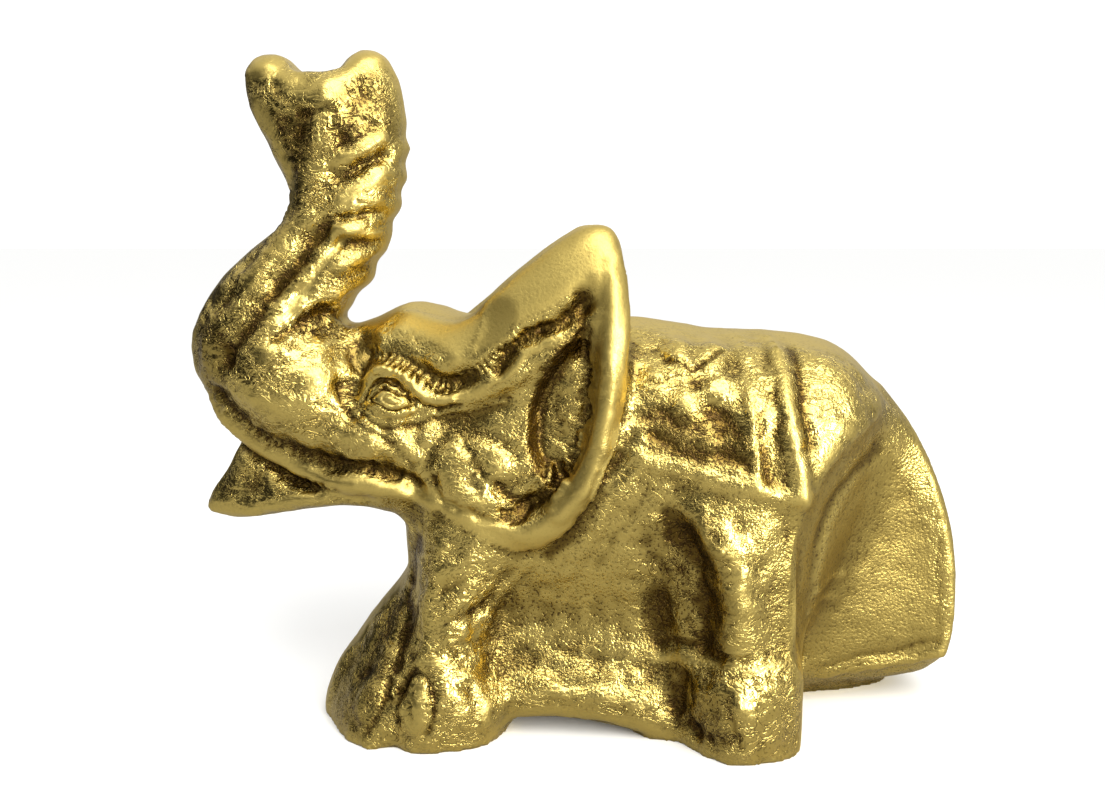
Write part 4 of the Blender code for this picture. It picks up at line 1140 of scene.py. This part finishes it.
def group_board(name: str, sockets: tuple) -> tuple[bpy.types.NodeTree, NodeBoard, Any, Any]:
    """Starts a shader node group.

    Args:
        name: The group's name.
        sockets: Rows of socket name, direction and socket type.

    Returns:
        The group's tree, its board, its input node and its output node.
    """
    tree = bpy.data.node_groups.new(name, "ShaderNodeTree")
    for label, direction, kind in sockets:
        tree.interface.new_socket(name=label, in_out=direction, socket_type=kind)
    board = NodeBoard(tree)
    return tree, board, board.add("NodeGroupInput"), board.add("NodeGroupOutput")


@dataclass(frozen=True)
class SandGrain:
    """The mould's print: soft crumples, thin scattered creases of two sizes as in foil, and fine sand.

    Each crease has a scale per metre, a half width in the noise's own value and a depth in metres.
    """

    creases: tuple = ((440.0, 0.034, 0.00013), (950.0, 0.050, 0.00007))
    # Creases show only where a noise of this share of their scale is past these two values.
    patch_scale: float = 0.4
    patch_values: tuple = (0.42, 0.56)
    stretch: float = 1.5
    crumples_per_metre: float = 420.0
    crumple_height: float = 0.00058
    sand_per_metre: float = 2500.0
    sand_height: float = 0.00018
    # How much of the sand is lost where the skin is coarse.
    sand_lost: float = 0.6
    # The sand's values between which it is a pit, and how strong the mask gets there.
    pit_values: tuple = (0.46, 0.33)
    pit_mask: float = 0.9

    def group(self) -> bpy.types.NodeTree:
        """Builds the group.

        Height, in metres, is the crumples less the creases, by Coarse, plus the sand, which weakens as
        Coarse grows. Cracks is the mask of creases and pits. A crease runs where a noise is near its middle
        value, and only where a broader noise is high.

        Returns:
            The group, with Vector and Coarse in, and Height and Cracks out.
        """
        tree, board, given, made = group_board("sand_grain", (
            ("Vector", "INPUT", "NodeSocketVector"),
            ("Coarse", "INPUT", "NodeSocketFloat"),
            ("Height", "OUTPUT", "NodeSocketFloat"),
            ("Cracks", "OUTPUT", "NodeSocketFloat"),
        ))
        place, coarse = given.outputs["Vector"], given.outputs["Coarse"]
        laid = board.add("ShaderNodeMapping", {
            "Vector": place, "Rotation": (0.0, 0.6, 0.0), "Scale": (1.0 / self.stretch, 1.0, 1.0),
        }).outputs["Vector"]
        swell = board.add("ShaderNodeTexNoise", {
            "Vector": laid, "Scale": self.crumples_per_metre, "Detail": 1.4, "Roughness": 0.55,
            "Distortion": 0.6,
        })
        sand = board.add("ShaderNodeTexNoise", {
            "Vector": place, "Scale": self.sand_per_metre, "Detail": 1.5, "Roughness": 0.6,
        }).outputs["Fac"]
        height = board.math("MULTIPLY", swell.outputs["Fac"], self.crumple_height)
        cracks = None
        for scale, half, depth in self.creases:
            lines = board.add("ShaderNodeTexNoise", {
                "Vector": laid, "Scale": scale, "Detail": 2.5, "Roughness": 0.6, "Distortion": 1.2,
            })
            patches = board.add("ShaderNodeTexNoise", {
                "Vector": place, "Scale": scale * self.patch_scale, "Detail": 1.0,
            })
            away = board.math("ABSOLUTE", board.math("SUBTRACT", lines.outputs["Fac"], 0.5))
            shown = board.ramp(patches.outputs["Fac"], *self.patch_values)
            crease = board.math("MULTIPLY", board.ramp(away, half, 0.0), shown)
            height = board.math("SUBTRACT", height, board.math("MULTIPLY", crease, depth))
            cracks = crease if cracks is None else board.math("MAXIMUM", cracks, crease)
        sand_left = board.math("SUBTRACT", 1.0, board.math("MULTIPLY", coarse, self.sand_lost))
        sandy = board.math("MULTIPLY", sand, board.math("MULTIPLY", self.sand_height, sand_left))
        board.feed(made.inputs["Height"], board.math("ADD", board.math("MULTIPLY", height, coarse), sandy))
        pits = board.ramp(sand, *self.pit_values, 0.0, self.pit_mask)
        board.feed(made.inputs["Cracks"], board.math("MAXIMUM", board.math("MULTIPLY", cracks, coarse), pits))
        return tree


@dataclass(frozen=True)
class BrassFinish:
    """Bright cast brass: yellow metal, deeper in its hollows, with brown soot that was never rubbed off, and
    painted shade laid the same way.
    """

    metal: tuple = (0.67, 0.515, 0.15, 1.0)
    # The deep colour and the tarnish that soot mixes in: patina in the hollows, and painted shade where the
    # marks darken open skin.
    deep: tuple = (0.18, 0.115, 0.018, 1.0)
    tarnish_and_shade: tuple = (0.065, 0.036, 0.012, 1.0)
    # How much of the grain's relief buffing takes off.
    smoothed: float = 0.8
    # The dirt that a crack holds without soot, the dirt and painted shade of full soot, and how far dirt and
    # painted shade hide the metal.
    crack_dirt: float = 0.55
    soot_and_shade_dirt: float = 0.55
    dirt_and_shade_cover: float = 0.92
    # The least roughness, what is added where the sand's print is fine, and what buffing or dirt and painted
    # shade add.
    gloss: float = 0.11
    fine_rough: float = 0.13
    worn_rough: float = 0.18
    buffed_rough: float = 1.2
    grain: SandGrain = SandGrain()

    def material(self) -> bpy.types.Material:
        """Builds the material: grain bump that fades where buffed, and colour from soot, painted shade and
        cracks.

        Returns:
            The material, which reads the mesh's attributes of soot and painted shade, of buffing and of grit.
        """
        material = bpy.data.materials.new("cast_brass")
        material.use_nodes = True
        board = NodeBoard(material.node_tree)
        place = board.add("ShaderNodeTexCoord").outputs["Object"]
        soot_and_shade = board.add("ShaderNodeAttribute", attribute_name="soot_and_shade").outputs["Fac"]
        buffed = board.add("ShaderNodeAttribute", attribute_name="buffed").outputs["Fac"]
        coarse = board.add("ShaderNodeAttribute", attribute_name="grit").outputs["Fac"]
        grain = board.add("ShaderNodeGroup", node_tree=self.grain.group())
        board.feed(grain.inputs["Vector"], place)
        board.feed(grain.inputs["Coarse"], coarse)
        relief = board.math("SUBTRACT", 1.0, board.math("MULTIPLY", buffed, self.smoothed))
        bump = board.add("ShaderNodeBump", {
            "Height": board.math("MULTIPLY", grain.outputs["Height"], relief),
            "Distance": 1.0,
            "Strength": 1.0,
        })
        cracks = board.math("MULTIPLY", grain.outputs["Cracks"], relief)
        cracked = board.math("MULTIPLY", cracks, board.math("ADD", self.crack_dirt, soot_and_shade))
        # Soot darkens the colour towards the deep colour and the tarnish: patina in hollows, painted shade
        # where the marks lay it.
        sooted_and_shaded = board.math("MULTIPLY", board.math("MULTIPLY", soot_and_shade, soot_and_shade), self.soot_and_shade_dirt)
        dirt_and_shade = board.math("ADD", cracked, sooted_and_shaded, clamp=True)
        warm = board.mix(soot_and_shade, self.metal, self.deep)
        colour = board.mix(board.math("MULTIPLY", dirt_and_shade, self.dirt_and_shade_cover), warm, self.tarnish_and_shade)
        sandy = board.math("MULTIPLY", board.math("SUBTRACT", 1.0, coarse), self.fine_rough)
        dull = board.math("MAXIMUM", board.math("MULTIPLY", buffed, self.buffed_rough), dirt_and_shade)
        worn = board.math("MULTIPLY", dull, self.worn_rough)
        rough = board.math("ADD", board.math("ADD", worn, sandy), self.gloss)
        shader = board.add("ShaderNodeBsdfPrincipled", {
            "Base Color": colour, "Roughness": rough, "Metallic": 1.0, "Normal": bump.outputs["Normal"],
        })
        out = board.add("ShaderNodeOutputMaterial")
        board.feed(out.inputs["Surface"], shader.outputs["BSDF"])
        return material


@dataclass(frozen=True)
class Softbox:
    """One soft panel of light that faces a point.

    Args:
        name: The light's name.
        place: Where it hangs, in metres.
        size: Its width and height in metres.
        power: Its power in watts.
        colour: Its colour.
    """

    name: str
    place: tuple
    size: tuple
    power: float
    colour: tuple = (1.0, 1.0, 1.0)

    def hang(self, target: tuple) -> None:
        """Adds the light, turned so that it faces the target.

        Args:
            target: The point that it faces, in metres.
        """
        lamp = bpy.data.lights.new(self.name, "AREA")
        lamp.shape = "RECTANGLE"
        lamp.size, lamp.size_y = self.size
        lamp.energy = self.power
        lamp.color = self.colour
        lamp_object = bpy.data.objects.new(self.name, lamp)
        lamp_object.location = self.place
        towards = Vector(np.subtract(target, self.place))
        lamp_object.rotation_euler = towards.to_track_quat("-Z", "Y").to_euler()
        bpy.context.scene.collection.objects.link(lamp_object)


@dataclass
class Studio:
    """The plain pale floor, the room's light, the softboxes and the camera.

    Each room shade has the two values of a direction between which it changes, and the light at each.
    """

    floor_half: float = 3.0
    floor_lines: int = 9
    floor_seen: tuple = (0.86, 0.86, 0.85, 1.0)
    # The floor's colour in the metal's reflections: painted shade, darker than the floor looks to the eye.
    floor_shaded_in_metal: tuple = (0.31, 0.30, 0.28, 1.0)
    room_strength: float = 1.15
    room_colour: tuple = (1.0, 0.98, 0.95, 1.0)
    room_glow: float = 0.35
    shade_left: tuple = (-0.7, 0.0, 0.07, 1.0)
    shade_left_high: tuple = (0.18, 0.6, 0.0, 0.9)
    glow_back: tuple = (0.0, 0.7, 0.0, 0.1)
    glow_above: tuple = (0.1, 0.8, 0.0, 0.4)
    aim: tuple = (0.0, 0.0, 0.045)
    camera_place: tuple = (-0.004242, -0.141496, 0.067725)
    camera_tilt: float = 80.804
    lens: float = 34.21
    boxes: tuple = (
        Softbox("overhead_front", (0.10, -0.23, 0.33), (0.36, 0.26), 1.3),
        Softbox("right_front", (0.226, -0.296, 0.062), (0.150, 0.280), 1.6),
    )

    def build(self) -> None:
        """Builds the floor, the room's light, the softboxes and the camera."""
        self.floor()
        self.room()
        for box in self.boxes:
            box.hang(self.aim)
            REPORT.info("light: %s", box.name)
        self.camera()

    def floor(self) -> None:
        """Lays a level square grid on z = 0, with a pale matt finish."""
        steps = np.linspace(-self.floor_half, self.floor_half, self.floor_lines)
        x, y = np.meshgrid(steps, steps)
        points = np.stack([x.ravel(), y.ravel(), np.zeros(x.size)], axis=1)
        index = np.arange(x.size).reshape(x.shape)
        around = [index[:-1, :-1], index[:-1, 1:], index[1:, 1:], index[1:, :-1]]
        faces = np.stack(around, axis=-1).reshape(-1, len(around))
        mesh = bpy.data.meshes.new("floor")
        mesh.from_pydata(points.tolist(), [], faces.tolist())
        floor = bpy.data.objects.new("floor", mesh)
        bpy.context.scene.collection.objects.link(floor)
        material = bpy.data.materials.new("pale_floor")
        material.use_nodes = True
        board = NodeBoard(material.node_tree)
        # Painted shade in the reflections: the floor is darker in the metal than to the eye.
        mirrored = board.add("ShaderNodeLightPath").outputs["Is Glossy Ray"]
        colour = board.mix(mirrored, self.floor_seen, self.floor_shaded_in_metal)
        shader = board.add("ShaderNodeBsdfPrincipled", {
            "Base Color": colour, "Roughness": 0.9, "Specular IOR Level": 0.0,
        })
        out = board.add("ShaderNodeOutputMaterial")
        board.feed(out.inputs["Surface"], shader.outputs["BSDF"])
        mesh.materials.append(material)
        REPORT.info("floor: %.0f m across", 2 * self.floor_half)

    def room(self) -> None:
        """Sets the room's light: white to the eye and the floor, and shaded to the left in the metal."""
        world = bpy.data.worlds.new("studio")
        bpy.context.scene.world = world
        world.use_nodes = True
        board = NodeBoard(world.node_tree)
        ray = board.add("ShaderNodeTexCoord").outputs["Generated"]
        way = board.add("ShaderNodeSeparateXYZ", {"Vector": ray})
        level_shade = board.ramp(way.outputs["X"], *self.shade_left)
        left_shade = board.math("MAXIMUM", level_shade, board.ramp(way.outputs["Z"], *self.shade_left_high))
        back = board.ramp(way.outputs["Y"], *self.glow_back)
        above = board.ramp(way.outputs["Z"], *self.glow_above)
        glow = board.math("ADD", board.math("ADD", self.room_glow, back), above)
        tone = board.math("MULTIPLY", glow, left_shade)
        shade = board.mix(tone, (0.0, 0.0, 0.0, 1.0), self.room_colour)
        mirrored = board.add("ShaderNodeLightPath").outputs["Is Glossy Ray"]
        seen = board.mix(mirrored, (1.0, 1.0, 1.0, 1.0), shade)
        background = board.add("ShaderNodeBackground", {"Color": seen, "Strength": self.room_strength})
        out = board.add("ShaderNodeOutputWorld")
        board.feed(out.inputs["Surface"], background.outputs["Background"])

    def camera(self) -> None:
        """Stands the camera where the photograph was taken and sets the Standard view of colours."""
        lens = bpy.data.cameras.new("photo_angle")
        lens.sensor_fit = "HORIZONTAL"
        lens.sensor_width = 36.0
        lens.lens = self.lens
        lens.clip_start = 0.003
        camera = bpy.data.objects.new("photo_angle", lens)
        camera.location = self.camera_place
        camera.rotation_euler = (np.radians(self.camera_tilt), 0.0, 0.0)
        bpy.context.scene.collection.objects.link(camera)
        bpy.context.scene.camera = camera
        bpy.context.scene.view_settings.view_transform = "Standard"


def main() -> None:
    """Builds the figurine and the studio in order."""
    logging.basicConfig(level=logging.INFO)
    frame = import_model()
    casting = Casting()
    figure = casting.build(frame["nodes"][NODE])
    casting.dress(figure, BrassFinish().material())
    Studio().build()


if __name__ == "__main__":
    main()
